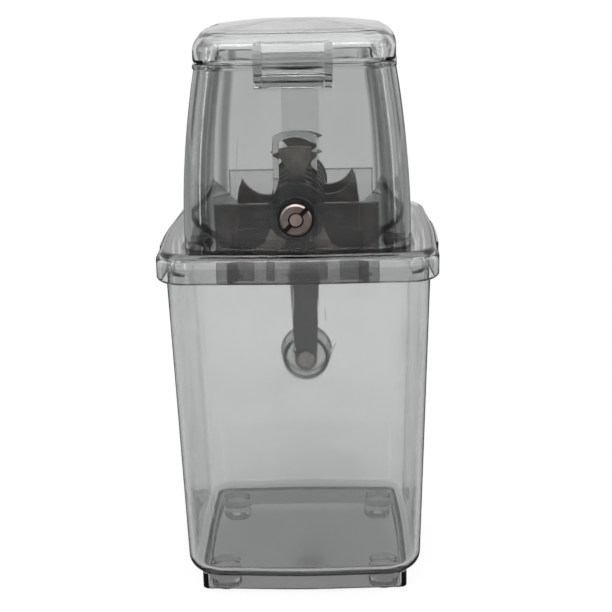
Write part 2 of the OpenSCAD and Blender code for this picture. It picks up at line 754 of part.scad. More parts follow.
module fixed_comb(side) {
    low = chamber_z + 1.5;
    color(steel) at_bin() difference() {
        rotate(side > 0 ? 0 : 180) union() {
            translate([channel_x - strip_t, -chamber_inner + seat_gap, low])
                cube([strip_t, 2 * (chamber_inner - seat_gap), strip_top_z - low]);
            for (i = [0:claw_count]) {
                y = claw_pitch * (i - claw_count / 2);
                slab_y(y - tooth_t / 2, y + tooth_t / 2) tooth_outline();
            }
        }
        at_comb_screws(channel_x - strip_t - 1, [side])
            cylinder(r = screw_r + press_gap, h = strip_t + 2, $fn = fine_fn);
    }
}

// A pan-head screw that points down -Z from its head's seat
module screw(shank) {
    difference() {
        union() {
            translate([0, 0, -shank]) cylinder(r = screw_r, h = shank, $fn = fine_fn);
            cylinder(r = screw_head_r, h = screw_head_h, $fn = fine_fn);
        }
        translate([0, 0, screw_head_h - 0.7]) {
            translate([-screw_head_r * 0.6, -0.4, 0]) cube([screw_head_r * 1.2, 0.8, 1]);
            translate([-0.4, -screw_head_r * 0.6, 0]) cube([0.8, screw_head_r * 1.2, 1]);
        }
    }
}

module chamber_screws() {
    color(steel) at_bin() at_bosses(deck_under_z - flange_t) rotate([180, 0, 0]) screw(screw_len + flange_t - 1);
}

module comb_screws() {
    color(steel) at_bin() at_comb_screws(channel_x + chamber_wall) screw(chamber_wall + strip_t - 0.2);
}

// ---------- bearings ----------

module bush() {
    color(black) at_shaft() difference() {
        union() {
            rod_y(bush_r, chamber_inner, column_face);
            rod_y(bush_flange_r, chamber_face, chamber_face + bush_flange_t);
        }
        rod_y(journal_r + run_gap, chamber_inner - 1, column_face + 1);
    }
}

module front_bush() { translate([0, 2 * body_y, 0]) mirror([0, 1, 0]) bush(); }
module rear_bush() { bush(); }

// ---------- rotor ----------

module drive_shaft() {
    color(steel) at_shaft() {
        rod_y(thread_r, -shaft_front, -washer_in + 0.2);
        rod_y(journal_r, -washer_in + 0.2, -disc_out);
        bar_y(2 * journal_r, -disc_out, disc_out);
        rod_y(journal_r, disc_out, washer_in);
        bar_y(drive_square, washer_in, arm_out - 0.2);
        rod_y(thread_r, arm_out - 0.2, shaft_rear);
    }
}

// A square bore for the shaft, with room to slide on
module shaft_square(y0, y1) { bar_y(2 * (journal_r + press_gap), y0, y1); }

// One claw along +X: an arc-headed anchor whose flanks are hollowed to sharp tips
module claw_outline() {
    tip = [claw_r * cos(claw_angle), claw_r * sin(claw_angle)];
    spread = tip.y - claw_neck;
    flank_r = (spread * spread + pow(tip.x - neck_r, 2)) / (2 * spread);
    difference() {
        intersection() {
            circle(r = claw_r, $fn = 128);
            translate([0, -tip.y]) square([claw_r + 1, 2 * tip.y]);
        }
        for (s = [-1, 1]) translate([neck_r, s * (claw_neck + flank_r)]) circle(r = flank_r, $fn = round_fn);
    }
}

module claw(i) {
    y = claw_pitch * (i - (claw_count + 1) / 2);
    color(steel) at_shaft() difference() {
        slab_y(y - claw_t / 2, y + claw_t / 2) union() {
            circle(r = hub_r, $fn = round_fn);
            for (a = claw_ways[i - 1]) rotate(a) claw_outline();
        }
        shaft_square(y - claw_t, y + claw_t);
    }
}

// A bobbin between y0 and y1, waisted half way
module bobbin(y0, y1) {
    lip = min(1, (y1 - y0) / 5);
    color(black) at_shaft() difference() {
        turned_y([[0, y0], [spacer_r, y0], [spacer_r, y0 + lip], [waist_r, y0 + 2 * lip],
                  [waist_r, y1 - 2 * lip], [spacer_r, y1 - lip], [spacer_r, y1], [0, y1]]);
        shaft_square(y0 - 1, y1 + 1);
    }
}

module spacer(i) {
    y = claw_pitch * (i - claw_count / 2);
    half = (claw_pitch - claw_t) / 2;
    bobbin(y - half, y + half);
}

module front_end_spacer() { bobbin(-disc_in, -stack_end); }
module rear_end_spacer() { bobbin(stack_end, disc_in); }

module end_disc(y0, y1, out) {
    edge = 0.8;
    rim = out > 0 ? [[end_disc_r, y0], [end_disc_r, y1 - edge], [end_disc_r - edge, y1]]
                  : [[end_disc_r - edge, y0], [end_disc_r, y0 + edge], [end_disc_r, y1]];
    color(black) at_shaft() difference() {
        turned_y(concat([[0, y0]], rim, [[0, y1]]));
        shaft_square(y0 - 1, y1 + 1);
    }
}

module front_end_disc() { end_disc(-disc_out, -disc_in, -1); }
module rear_end_disc() { end_disc(disc_in, disc_out, 1); }

module front_washer() {
    color(steel) at_shaft() difference() {
        rod_y(washer_r, -nut_in, -washer_in);
        rod_y(thread_r + press_gap, -nut_in - 1, -washer_in + 1);
    }
}

module front_nut() {
    slot_w = 2;
    slot_depth = 1.3;
    relief_r = 3.3;
    face = -nut_in - nut_t;
    color(steel) at_shaft() difference() {
        turned_y([[0, face], [nut_r - 0.7, face], [nut_r, face + 0.7], [nut_r, -nut_in], [0, -nut_in]]);
        rod_y(thread_r + press_gap, face - 1, -nut_in + 1);
        rod_y(relief_r, face - 1, face + 1.4);
        rotate([0, -45, 0]) translate([-nut_r - 1, face - 1, -slot_w / 2])
            cube([2 * nut_r + 2, slot_depth + 1, slot_w]);
    }
}

// ---------- crank ----------

module crank_hub() {
    y0 = washer_in;
    neck = crank_hub_r - 1.2;
    color(black) at_shaft() difference() {
        turned_y([[0, y0], [crank_hub_r, y0], [crank_hub_r, y0 + 2], [neck, y0 + 3], [neck, arm_in - 2],
                  [crank_hub_r, arm_in - 1], [crank_hub_r, arm_in], [0, arm_in]]);
        bar_y(drive_square + 2 * press_gap, y0 - 1, arm_in + 1);
    }
}

// Half width of the arm at a depth below the shaft
function arm_half(depth) = arm_hub_r + (arm_tip_r - arm_hub_r) * depth / crank_len;

// A straight-sided stretch of the arm between two depths, inset from its edges
module arm_stretch(from, to, inset) {
    polygon([[arm_half(from) - inset, -from], [arm_half(to) - inset, -to],
             [inset - arm_half(to), -to], [inset - arm_half(from), -from]]);
}

module crank_arm() {
    rib_end = 8.2;
    rib_inset = 1.2;
    color(dark_smoke) at_shaft() difference() {
        union() {
            slab_y(arm_in, arm_out) union() {
                circle(r = arm_hub_r, $fn = round_fn);
                arm_stretch(0, crank_len, 0);
                translate([0, -crank_len]) circle(r = arm_tip_r, $fn = round_fn);
            }
            slab_y(arm_in - rib_t, arm_in + arm_t / 2)
                arm_stretch(crank_hub_r + 1.5, crank_len - rib_end, rib_inset);
        }
        bar_y(drive_square + 2 * press_gap, arm_in - 1, arm_out + 1);
        translate([0, 0, -crank_len]) rod_y(knob_pin_r + press_gap, arm_in - 2, arm_out + 1, fine_fn);
    }
}

module crank_nut() {
    color(steel) at_shaft() difference() {
        translate([0, arm_out, 0]) rotate([-90, 0, 0]) union() {
            cylinder(r = crank_nut_w / 2 / cos(30), h = crank_nut_h - 1, $fn = 6);
            cylinder(r = crank_nut_w / 2 - 0.4, h = crank_nut_h, $fn = round_fn);
        }
        rod_y(thread_r + press_gap, arm_out - 1, shaft_rear + seat_gap);
    }
}

module knob_pin() {
    head_y = knob_out - pin_recess + seat_gap;
    color(steel) translate([0, body_y, knob_z]) {
        rod_y(pin_head_r, arm_in - 1, arm_in);
        rod_y(knob_pin_r, arm_in, head_y, fine_fn);
        rod_y(pin_head_r, head_y, head_y + pin_head_t);
    }
}

// A flared cup that is open towards the arm, with a tube for the pin down its middle
module crank_knob() {
    tube_r = knob_pin_r + 2.2;
    flare_y = knob_in + 14;
    end_r = knob_out - flare_y;
    steps = 6;
    belly = [for (i = [0:steps]) let (a = 90 * i / steps)
        [knob_r - end_r + end_r * cos(a), flare_y + end_r * sin(a)]];
    hollow_r = end_r - knob_wall;
    hollow = [for (i = [steps:-1:0]) let (a = 90 * i / steps)
        [knob_r - end_r + hollow_r * cos(a), flare_y + hollow_r * sin(a) - pin_recess]];
    color(smoke) translate([0, body_y, knob_z]) difference() {
        turned_y(concat(
            [[0, knob_in], [tube_r, knob_in], [tube_r, hollow[0].y]], hollow,
            [[knob_near_r - knob_wall, knob_in], [knob_near_r, knob_in]], belly, [[0, knob_out]]));
        rod_y(knob_pin_r + run_gap, knob_in - 1, knob_out + 1, fine_fn);
        rod_y(pin_head_r + seat_gap, knob_out - pin_recess, knob_out + 1);
    }
}

foot(-1, -1);  // foot_front_left
foot(1, -1);  // foot_front_right
foot(-1, 1);  // foot_rear_left
foot(1, 1);  // foot_rear_right
ice_bin();
collar();
hopper();
crush_chamber();
fixed_comb(-1);  // fixed_comb_left
fixed_comb(1);  // fixed_comb_right
chamber_screws();
comb_screws();
front_bush();
rear_bush();
lid();
hinge_pin();
drive_shaft();
front_washer();
front_nut();
front_end_disc();
rear_end_disc();
front_end_spacer();
rear_end_spacer();
crank_hub();
crank_arm();
crank_nut();
knob_pin();
crank_knob();
for (i = [1:claw_count]) claw(i);
for (i = [1:claw_count - 1]) spacer(i);
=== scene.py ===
"""Looks of the hand-cranked ice crusher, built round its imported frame."""
import json
import math

import bmesh
import bpy
from mathutils import Matrix, Vector


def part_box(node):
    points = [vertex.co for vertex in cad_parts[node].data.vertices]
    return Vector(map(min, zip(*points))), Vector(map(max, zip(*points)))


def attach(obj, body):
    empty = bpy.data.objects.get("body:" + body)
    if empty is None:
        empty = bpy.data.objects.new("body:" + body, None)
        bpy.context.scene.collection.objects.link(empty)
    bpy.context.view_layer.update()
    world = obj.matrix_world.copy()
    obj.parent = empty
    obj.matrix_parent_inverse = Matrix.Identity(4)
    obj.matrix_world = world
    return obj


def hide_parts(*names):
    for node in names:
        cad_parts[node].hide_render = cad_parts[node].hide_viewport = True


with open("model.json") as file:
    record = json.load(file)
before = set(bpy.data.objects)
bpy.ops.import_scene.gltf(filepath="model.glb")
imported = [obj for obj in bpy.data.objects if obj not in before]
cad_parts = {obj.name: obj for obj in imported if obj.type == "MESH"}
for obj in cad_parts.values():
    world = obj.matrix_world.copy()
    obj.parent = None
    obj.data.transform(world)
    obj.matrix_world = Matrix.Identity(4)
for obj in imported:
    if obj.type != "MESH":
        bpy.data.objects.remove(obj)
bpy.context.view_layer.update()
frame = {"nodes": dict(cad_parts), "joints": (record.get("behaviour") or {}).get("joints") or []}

bl_info = {
    "name": "Ice crusher looks",
    "version": (1, 0, 0),
    "blender": (4, 5, 0),
    "location": "3D View > Sidebar > Crusher",
    "description": "Clear shells, steel rotor and studio for the hand-cranked ice crusher",
    "category": "Object",
}

MM = 0.001
NODES = frame["nodes"]
BOX = {name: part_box(name) for name in NODES}
JOINT = {j["name"]: j for j in frame["joints"]}


def high(name, axis):
    """Upper end of a CAD node's box along an axis, in millimetres."""
    return BOX[name][1][axis] / MM


def low(name, axis):
    """Lower end of a CAD node's box along an axis, in millimetres."""
    return BOX[name][0][axis] / MM


# ---------- axes, levels and faces that the pieces share ----------
# All in millimetres. AXIS_Y is where the bin's own axis stands; every other y is counted from it.

AXIS_Y = JOINT["crank_turn"]["pos_m"][1] / MM
SHAFT_Z = JOINT["crank_turn"]["pos_m"][2] / MM
HINGE_Y = JOINT["lid_hinge"]["pos_m"][1] / MM - AXIS_Y
HINGE_Z = JOINT["lid_hinge"]["pos_m"][2] / MM

FEET = ("foot_front_left", "foot_front_right", "foot_rear_left", "foot_rear_right")
FOOT_TOP = high(FEET[0], 2)
RIM_Z = high("ice_bin", 2)
UNDER_DECK = RIM_Z + 0.3
DECK_Z = UNDER_DECK + 2.6
COLLAR_Z = low("collar", 2)
MOUTH_Z = HINGE_Z + 4.7
LID_Z = MOUTH_Z + 0.3

DECK_PLATE_Z = low("hopper", 2) - 3.0
CHAMBER_FRONT = low("front_end_disc", 1) - AXIS_Y
CHAMBER_HALF = 35.4
HOOD_BACK = HINGE_Y + 3.5
HOOD_HALF = 12.88

BIN_LONGER = -1.8      # how much longer than wide the bin and the collar are
LID_LONGER = -1.0      # the same for the lid and the hopper's mouth
DECK_LONGER = 3.0      # the same for the hopper's foot and the deck's opening
EDGE_R = 11.0          # plan radius of the lid's and the mouth's corners
COLUMN_HALF = 9.2      # half width of the bearing columns, and radius of the bearing bosses
COLUMN_H = 50.8        # height of the front column above the deck
BUSH_BORE = 6.04       # radius of the bores for the bushes
KNUCKLE_R = 4.6
KNUCKLE_HALF = 12.5
SCREW_X, SCREW_Y = 40.2, 38.0


# ---------- sizes and colours a user may change ----------

def number_value(name, description, default, unit="NONE"):
    """A number; lengths without a unit are in millimetres."""
    return bpy.props.FloatProperty(name=name, description=description, default=default, unit=unit)


def colour_value(name, description, default):
    """A colour."""
    return bpy.props.FloatVectorProperty(name=name, description=description, subtype="COLOR", size=3, default=default)


class CrusherSizes(bpy.types.PropertyGroup):
    """Sizes of the clear shells, in millimetres, in the frame of the crusher"""
    floor_z: number_value("Bin floor", "Height of the bin's underside", FOOT_TOP)
    collar_w: number_value("Collar width", "Width of the collar between its corners", 121.8)
    collar_corner: number_value("Collar corner", "Plan radius of the collar's corners", 13.0)
    bin_top_w: number_value("Bin width, top", "Width of the bin below its rim", 115.6)
    bin_bottom_w: number_value("Bin width, bottom", "Width of the bin above its fillet", 108.2)
    bin_corner: number_value("Bin corner", "Plan radius of the bin's corners", 17.0)
    skirt_w: number_value("Skirt width", "Width of the band under the bin", 95.0)
    hopper_base_w: number_value("Hopper width, deck", "Width of the hopper on the deck", 98.8)
    hopper_top_w: number_value("Hopper width, mouth", "Width of the hopper below its mouth", 85.0)
    wall: number_value("Hopper wall", "Wall of the hopper", 2.4)
    thin_wall: number_value("Bin wall", "Wall of the bin and the lid", 2.2)
    bow: number_value("Side bow", "Outward bow of each side", 1.4)
    lid_shoulder: number_value("Lid shoulder", "Radius of the lid's shoulder", 8.5)


class CrusherFinish(bpy.types.PropertyGroup):
    """Colours of the crusher's materials"""
    bin_tint: colour_value("Bin tint", "Colour of the bin's plastic", (0.94, 0.945, 0.945))
    housing_tint: colour_value("Housing tint", "Colour of the hopper and the collar", (0.875, 0.89, 0.885))
    lid_tint: colour_value("Lid tint", "Colour of the lid's plastic", (0.93, 0.94, 0.935))
    chamber_tint: colour_value("Chamber tint", "Colour of the crushing chamber", (0.96, 0.955, 0.95))
    # The wing and front tints are partly the chamber's dark plastic and partly painted shade, darkest on the front
    # wall.
    wing_plastic_and_shade: colour_value("Wing tint", "Colour of the chamber's wings and sides", (0.48, 0.51, 0.5))
    front_plastic_and_shade: colour_value("Chamber front tint", "Colour of the chamber's front wall", (0.18, 0.15, 0.14))
    claw_colour: colour_value("Claw steel", "Colour of the claws", (0.245, 0.228, 0.21))
    bright_colour: colour_value("Bright steel", "Colour of screws, the crank's nut and pins", (0.62, 0.53, 0.48))
    nut_colour: colour_value("Nut steel", "Colour of the slotted nut and shaft end", (0.37, 0.3, 0.27))
    black_colour: colour_value("Black plastic", "Colour of bushes, spacers and discs", (0.03, 0.03, 0.032))
    arm_colour: colour_value("Arm plastic", "Colour of the crank arm", (0.19, 0.189, 0.185))


class CrusherStudio(bpy.types.PropertyGroup):
    """Camera and light of the studio"""
    distance: number_value("Distance", "Camera's distance from the target", 0.5868, "LENGTH")
    azimuth: number_value("Azimuth", "Camera's angle to the right of the front", math.radians(1.42), "ROTATION")
    elevation: number_value("Elevation", "Camera's angle above the table", math.radians(16.05), "ROTATION")
    roll: number_value("Roll", "Camera's turn about its own axis", math.radians(-1.18), "ROTATION")
    target: bpy.props.FloatVectorProperty(name="Target", description="Point that the camera looks at",
                                          subtype="XYZ", size=3, default=(0.00212, AXIS_Y * MM, 0.12639))
    lens: number_value("Lens", "Focal length in millimetres on a 36 mm sensor", 72.84)
    ambient: number_value("Ambient", "Brightness of the surroundings on matt surfaces", 0.85)


# ---------- mesh helpers, in millimetres round the bin's own axis ----------

CORNER_STEPS = 14
SIDE_STEPS = 14
FULL_BOW_W = 60        # rings narrower than this bow less
SHARP = 32             # degrees past which an edge stays sharp
QUARTERS = ((1, 0), (0, 1), (-1, 0), (0, -1))


def plan(w, d, r, bow):
    """Points of a square plan with round corners and bowed sides, anticlockwise."""
    points = []
    for turn, (c, s) in enumerate(QUARTERS):
        a, b = (w, d) if turn % 2 == 0 else (d, w)
        quarter = []
        for i in range(SIDE_STEPS):
            t = -1 + 2 * i / SIDE_STEPS
            quarter.append((a / 2 + bow * (1 - t * t) ** 2, t * (b / 2 - r)))
        for i in range(CORNER_STEPS):
            angle = math.pi / 2 * i / CORNER_STEPS
            quarter.append((a / 2 - r + r * math.cos(angle), b / 2 - r + r * math.sin(angle)))
        points += [(x * c - y * s, x * s + y * c) for x, y in quarter]
    return points


def loft(rings, bow, loop=False):
    """Vertices and faces of a skin over rings of (z, width, corner radius, longer)."""
    verts, faces = [], []
    for z, w, r, longer in rings:
        verts += [(x, y, z) for x, y in plan(w, w + longer, r, bow * min(1, w / FULL_BOW_W))]
    n, m = 4 * (CORNER_STEPS + SIDE_STEPS), len(rings)
    for i in range(m if loop else m - 1):
        k = (i + 1) % m
        for j in range(n):
            l = (j + 1) % n
            faces.append((i * n + j, i * n + l, k * n + l, k * n + j))
    if not loop:
        faces.append(tuple(range(n - 1, -1, -1)))
        faces.append(tuple((m - 1) * n + j for j in range(n)))
    return verts, faces


def add_mesh(name, verts, faces):
    """A mesh object from points in metres."""
    mesh = bpy.data.meshes.new(name)
    mesh.from_pydata(verts, [], faces)
    mesh.validate()
    obj = bpy.data.objects.new(name, mesh)
    bpy.context.scene.collection.objects.link(obj)
    return obj


def mesh_object(name, verts, faces):
    """A mesh object from points in millimetres round the bin's axis."""
    return add_mesh(name, [(x * MM, (y + AXIS_Y) * MM, z * MM) for x, y, z in verts], faces)


def outward(obj):
    """Turns every closed part of a mesh so that its faces point outwards."""
    bm = bmesh.new()
    bm.from_mesh(obj.data)
    bmesh.ops.recalc_face_normals(bm, faces=bm.faces)
    bm.to_mesh(obj.data)
    bm.free()
    return obj


def smooth(obj):
    """Smooth shading, with the sharper edges kept."""
    obj.data.shade_smooth()
    obj.data.set_sharp_from_angle(angle=math.radians(SHARP))
    return obj


def shell(name, rings, loop=False):
    """A closed skin over rings."""
    return outward(mesh_object(name, *loft(rings, bpy.context.scene.crusher_sizes.bow, loop)))


def prism(name, outline, axis, a, b):
    """A solid from an outline; axis x: outline in (y, z); y: in (x, z); z: in (x, y)."""
    n = len(outline)
    put = {"x": lambda u, v, t: (t, u, v), "y": lambda u, v, t: (u, t, v), "z": lambda u, v, t: (u, v, t)}[axis]
    verts = [put(u, v, a) for u, v in outline] + [put(u, v, b) for u, v in outline]
    faces = [tuple(range(n)), tuple(range(2 * n - 1, n - 1, -1))]
    faces += [(i, n + i, n + (i + 1) % n, (i + 1) % n) for i in range(n)]
    return outward(mesh_object(name, verts, faces))


def circle(cx, cy, r, n=48, start=0.0, end=360.0):
    """Points of a circle, or of an arc with both its ends, between angles in degrees."""
    steps = n if abs(end - start) >= 360 else n + 1
    angles = [math.radians(start + (end - start) * i / n) for i in range(steps)]
    return [(cx + r * math.cos(a), cy + r * math.sin(a)) for a in angles]


def arch(half, spring, top, steps=10):
    """Points of a low arch from +half back to -half."""
    rise = top - spring
    r = (half * half + rise * rise) / (2 * rise)
    reach = math.degrees(math.asin(half / r))
    angles = [math.radians(reach - 2 * reach * i / steps) for i in range(steps + 1)]
    return [(r * math.sin(a), top - r + r * math.cos(a)) for a in angles]


def box_outline(x0, x1, y0, y1):
    return [(x0, y0), (x1, y0), (x1, y1), (x0, y1)]


def evaluated(obj):
    """Replaces a mesh by what its modifiers make of it, and removes the modifiers."""
    graph = bpy.context.evaluated_depsgraph_get()
    mesh = bpy.data.meshes.new_from_object(obj.evaluated_get(graph), preserve_all_data_layers=True, depsgraph=graph)
    obj.modifiers.clear()
    old = obj.data
    obj.data = mesh
    if old.users == 0:
        bpy.data.meshes.remove(old)
    return obj


def combine(base, tools, operation):
    """Adds tools to base, cuts them from it or keeps what they share, and removes them."""
    for tool in tools:
        mod = base.modifiers.new("combine", "BOOLEAN")
        mod.operation = operation
        mod.solver = "EXACT"
        mod.object = tool
    bpy.context.view_layer.update()
    evaluated(base)
    for tool in tools:
        bpy.data.objects.remove(tool, do_unlink=True)
    return base


def dress(obj, material, body, slot, *nodes):
    """Gives a finished piece its material, body and the nodes it stands for; its slot is not used."""
    obj.data.materials.clear()
    obj.data.materials.append(material)
    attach(obj, body)
    if nodes:
        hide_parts(*nodes)
    return obj


# ---------- node trees ----------

FLOAT = "NodeSocketFloat"
GEOMETRY = "NodeSocketGeometry"


def is_output(value):
    return isinstance(value, bpy.types.NodeSocket)


class Graph:
    """A node tree, with short calls for the nodes used here; an input takes an output or a constant."""

    def __init__(self, tree):
        self.nodes, self.links = tree.nodes, tree.links

    def feed(self, socket, value):
        if is_output(value):
            self.links.new(value, socket)
        else:
            socket.default_value = value

    def add(self, kind, inputs=None, **settings):
        """Adds a node; its settings come before its inputs."""
        node = self.nodes.new(kind)
        for key, value in settings.items():
            setattr(node, key, value)
        for key, value in (inputs or {}).items():
            self.feed(node.inputs[key], value)
        return node

    def place(self):
        """The point's own coordinates on the object."""
        return self.add("ShaderNodeTexCoord").outputs["Object"]

    def use(self, group, **values):
        return self.add("ShaderNodeGroup", values, node_tree=group).outputs

    def math(self, operation, *values):
        return self.add("ShaderNodeMath", dict(enumerate(values)), operation=operation).outputs[0]

    def times(self, product, *factors):
        for factor in factors:
            product = self.math("MULTIPLY", product, factor)
        return product

    def above(self, value, limit):
        """1 where a length in metres is above a limit in millimetres, else 0."""
        return self.math("GREATER_THAN", value, limit * MM)

    def below(self, value, limit):
        return self.math("LESS_THAN", value, limit * MM)

    def remap(self, value, a, b, c=0.0, d=1.0):
        """Runs from c to d while the value runs from a to b, and holds there."""
        ends = {"Value": value, "From Min": a, "From Max": b, "To Min": c, "To Max": d}
        return self.add("ShaderNodeMapRange", ends).outputs["Result"]

    def vector_math(self, operation, inputs):
        return self.add("ShaderNodeVectorMath", inputs, operation=operation).outputs[0]

    def noise(self, vector, scale, detail=3.0, rough=0.55):
        inputs = {"Vector": vector, "Scale": scale, "Detail": detail, "Roughness": rough}
        return self.add("ShaderNodeTexNoise", inputs).outputs["Fac"]

    def mix_colour(self, factor, *pair):
        first, second = [end if is_output(end) else (*end, 1) for end in pair]
        inputs = {"Factor": factor, "A": first, "B": second}
        return self.add("ShaderNodeMix", inputs, data_type="RGBA").outputs["Result"]

    def mix_shader(self, factor, first, second):
        return self.add("ShaderNodeMixShader", {0: factor, 1: first, 2: second}).outputs[0]

    def bump(self, shader, height, strength, distance):
        inputs = {"Height": height, "Strength": strength, "Distance": distance}
        self.feed(shader.inputs["Normal"], self.add("ShaderNodeBump", inputs).outputs["Normal"])


def new_tree(kind, name, inputs, outputs):
    """A node group with its sockets, its graph and its two end nodes."""
    tree = bpy.data.node_groups.new(name, kind)
    for label, socket_type, value in inputs:
        socket = tree.interface.new_socket(name=label, in_out="INPUT", socket_type=socket_type)
        if value is not None:
            socket.default_value = value
    for label, socket_type in outputs:
        tree.interface.new_socket(name=label, in_out="OUTPUT", socket_type=socket_type)
    g = Graph(tree)
    return tree, g, g.add("NodeGroupInput"), g.add("NodeGroupOutput")


# ---------- shader groups and materials ----------

GROUPS = {}
LOOKS = {}
SMOKE = (0.27, 0.285, 0.28)
PALE_SMOKE = (0.30, 0.315, 0.31)
PLASTIC_IOR = 1.49


def tone(colour, share):
    return tuple(c * share for c in colour)


def handling_group():
    """Smudges, fine scratches and moulding ripple of handled plastic."""
    group, g, gin, gout = new_tree("ShaderNodeTree", "Handling marks",
                                   [("Scale", FLOAT, 1.0), ("Smudge", FLOAT, 0.5), ("Scratch", FLOAT, 0.5)],
                                   [("Mask", FLOAT), ("Height", FLOAT)])
    vector = g.vector_math("SCALE", {0: g.place(), "Scale": gin.outputs["Scale"]})
    smudge = g.remap(g.noise(vector, 38.0, 4.0), 0.46, 0.72, 0.0, gin.outputs["Smudge"])
    drawn = g.vector_math("MULTIPLY", {0: vector, 1: (1.0, 1.0, 0.18)})
    cells = g.add("ShaderNodeTexVoronoi", {"Vector": drawn, "Scale": 55.0}, feature="DISTANCE_TO_EDGE")
    line = g.remap(cells.outputs["Distance"], 0.0, 0.006, 1.0, 0.0)
    broken = g.remap(g.noise(vector, 90.0, 2.0), 0.52, 0.62)
    scratch = g.times(line, broken, gin.outputs["Scratch"])
    g.feed(gout.inputs["Mask"], g.math("MAXIMUM", smudge, scratch))
    g.feed(gout.inputs["Height"], g.math("ADD", g.noise(vector, 26.0, 1.0), g.times(scratch, -0.3)))
    return group


def grain_group():
    """Fine directional grain of stamped or turned steel, with worn patches."""
    group, g, gin, gout = new_tree("ShaderNodeTree", "Steel grain",
                                   [("Along", "NodeSocketVector", (1.0, 1.0, 1.0)), ("Grain", FLOAT, 900.0)],
                                   [("Grain", FLOAT), ("Patches", FLOAT)])
    where = g.place()
    stretched = g.vector_math("MULTIPLY", {0: where, 1: gin.outputs["Along"]})
    g.feed(gout.inputs["Grain"], g.noise(stretched, gin.outputs["Grain"], 3.0, 0.6))
    g.feed(gout.inputs["Patches"], g.noise(where, 140.0, 5.0, 0.6))
    return group


def new_material(name):
    """A material with its graph and its shader."""
    material = bpy.data.materials.new(name)
    material.use_nodes = True
    g = Graph(material.node_tree)
    return material, g, g.nodes["Principled BSDF"]


def clear_plastic(name, tint, absorb, density, marks=0.6, roughness=0.03):
    """Clear smoky plastic: tinted, slightly rippled, darker where it is thick."""
    material, g, shader = new_material(name)
    shader.inputs["Transmission Weight"].default_value = 1.0
    shader.inputs["IOR"].default_value = PLASTIC_IOR
    wear = g.use(GROUPS["handling"], Scale=1.0, Smudge=marks, Scratch=marks)
    g.feed(shader.inputs["Base Color"], g.mix_colour(wear["Mask"], tint, tone(tint, 0.93)))
    g.feed(shader.inputs["Roughness"], g.remap(wear["Mask"], 0.0, 1.0, roughness, roughness + 0.12))
    g.bump(shader, wear["Height"], 0.25, 0.0004)
    volume = g.add("ShaderNodeVolumeAbsorption", {"Color": (*absorb, 1), "Density": density})
    g.feed(g.nodes["Material Output"].inputs["Volume"], volume.outputs[0])
    return material


def matt_plastic(name, colour, roughness):
    """Moulded dark plastic with a fine satin texture."""
    material, g, shader = new_material(name)
    wear = g.use(GROUPS["handling"], Scale=2.5, Smudge=0.6, Scratch=0.5)
    pale = tuple(min(1.0, c * 1.35 + 0.01) for c in colour)
    g.feed(shader.inputs["Base Color"], g.mix_colour(wear["Mask"], colour, pale))
    g.feed(shader.inputs["Roughness"], g.remap(wear["Mask"], 0.0, 1.0, roughness, roughness + 0.2))
    g.bump(shader, g.noise(g.place(), 2600.0, 2.0), 0.15, 0.0002)
    return material


def steel(name, colour, dark, along, grain, roughness):
    """Steel with directional grain and darker worn patches."""
    material, g, shader = new_material(name)
    shader.inputs["Metallic"].default_value = 1.0
    marks = g.use(GROUPS["grain"], Along=along, Grain=grain)
    g.feed(shader.inputs["Base Color"], g.mix_colour(g.remap(marks["Patches"], 0.35, 0.68), colour, dark))
    g.feed(shader.inputs["Roughness"], g.remap(marks["Grain"], 0.3, 0.7, roughness - 0.06, roughness + 0.1))
    g.bump(shader, marks["Grain"], 0.25, 0.0002)
    return material


def axes(g):
    """Distance to either side of the crusher's middle, place along it, and height, in metres."""
    place = g.add("ShaderNodeSeparateXYZ", {0: g.place()}).outputs
    along = g.math("SUBTRACT", place["Y"], AXIS_Y * MM)
    return {"across": g.math("ABSOLUTE", place["X"]), "along": along, "up": place["Z"]}


def deepen(material, *steps):
    """Blends other tints over a material's colour, each where its mask says."""
    g = Graph(material.node_tree)
    socket = g.nodes["Principled BSDF"].inputs["Base Color"]
    tint = socket.links[0].from_socket
    for mask, colour in steps:
        tint = g.mix_colour(mask(g, **axes(g)), tint, colour)
    g.feed(socket, tint)
    return material


# ---------- masks: where a piece has another tint; most are painted shade, one a painted highlight ---

STRIP_INNER = (0.0135, 0.0115)     # metres in from the hopper's side: where the strip starts, and is full
STRIP_OUTER = (0.0065, 0.009)      # the same, from its other edge
STRIP_REACH = (0.037, 0.040)       # metres from the middle, along the side


def corner_streak_shade(g, across, along, up):
    """The strips where each of the hopper's flat sides turns into a round corner; painted shade there stands in for
    the dark streaks that light makes through the curved corners.
    """
    sizes = bpy.context.scene.crusher_sizes
    share = g.remap(up, DECK_Z * MM, MOUTH_Z * MM)
    square = g.times(share, share)
    ends = g.math("ABSOLUTE", along)
    strips = []
    for place, other, deck_extra, mouth_extra in ((across, ends, 0.0, 0.0), (ends, across, 1.5, -0.5)):
        deck_half = (sizes.hopper_base_w / 2 + deck_extra) * MM
        mouth_half = (sizes.hopper_top_w / 2 + mouth_extra) * MM
        depth = g.math("SUBTRACT", g.remap(square, 0.0, 1.0, deck_half, mouth_half), place)
        strips.append(g.times(g.remap(depth, *STRIP_INNER), g.remap(depth, *STRIP_OUTER),
                              g.remap(other, *STRIP_REACH)))
    return g.math("MAXIMUM", *strips)


def edge_shade_mask(g, across, along, up):
    """The narrow top and side edges of the chamber's end walls, painted dark as shade along those edges."""
    end = g.above(g.math("ABSOLUTE", along), -CHAMBER_FRONT)
    side, top = g.above(across, CHAMBER_HALF - 0.5), g.above(up, SHAFT_Z + 4.1)
    return g.times(end, g.math("MAXIMUM", side, top))


def region(**limits):
    """A mask that is 1 where each distance is between its two limits, in millimetres; None is no limit."""
    def mask(g, **place):
        tests = []
        for axis, (least, most) in limits.items():
            if least is not None:
                tests.append(g.above(place[axis], least))
            if most is not None:
                tests.append(g.below(place[axis], most))
        return g.times(*tests)
    return mask
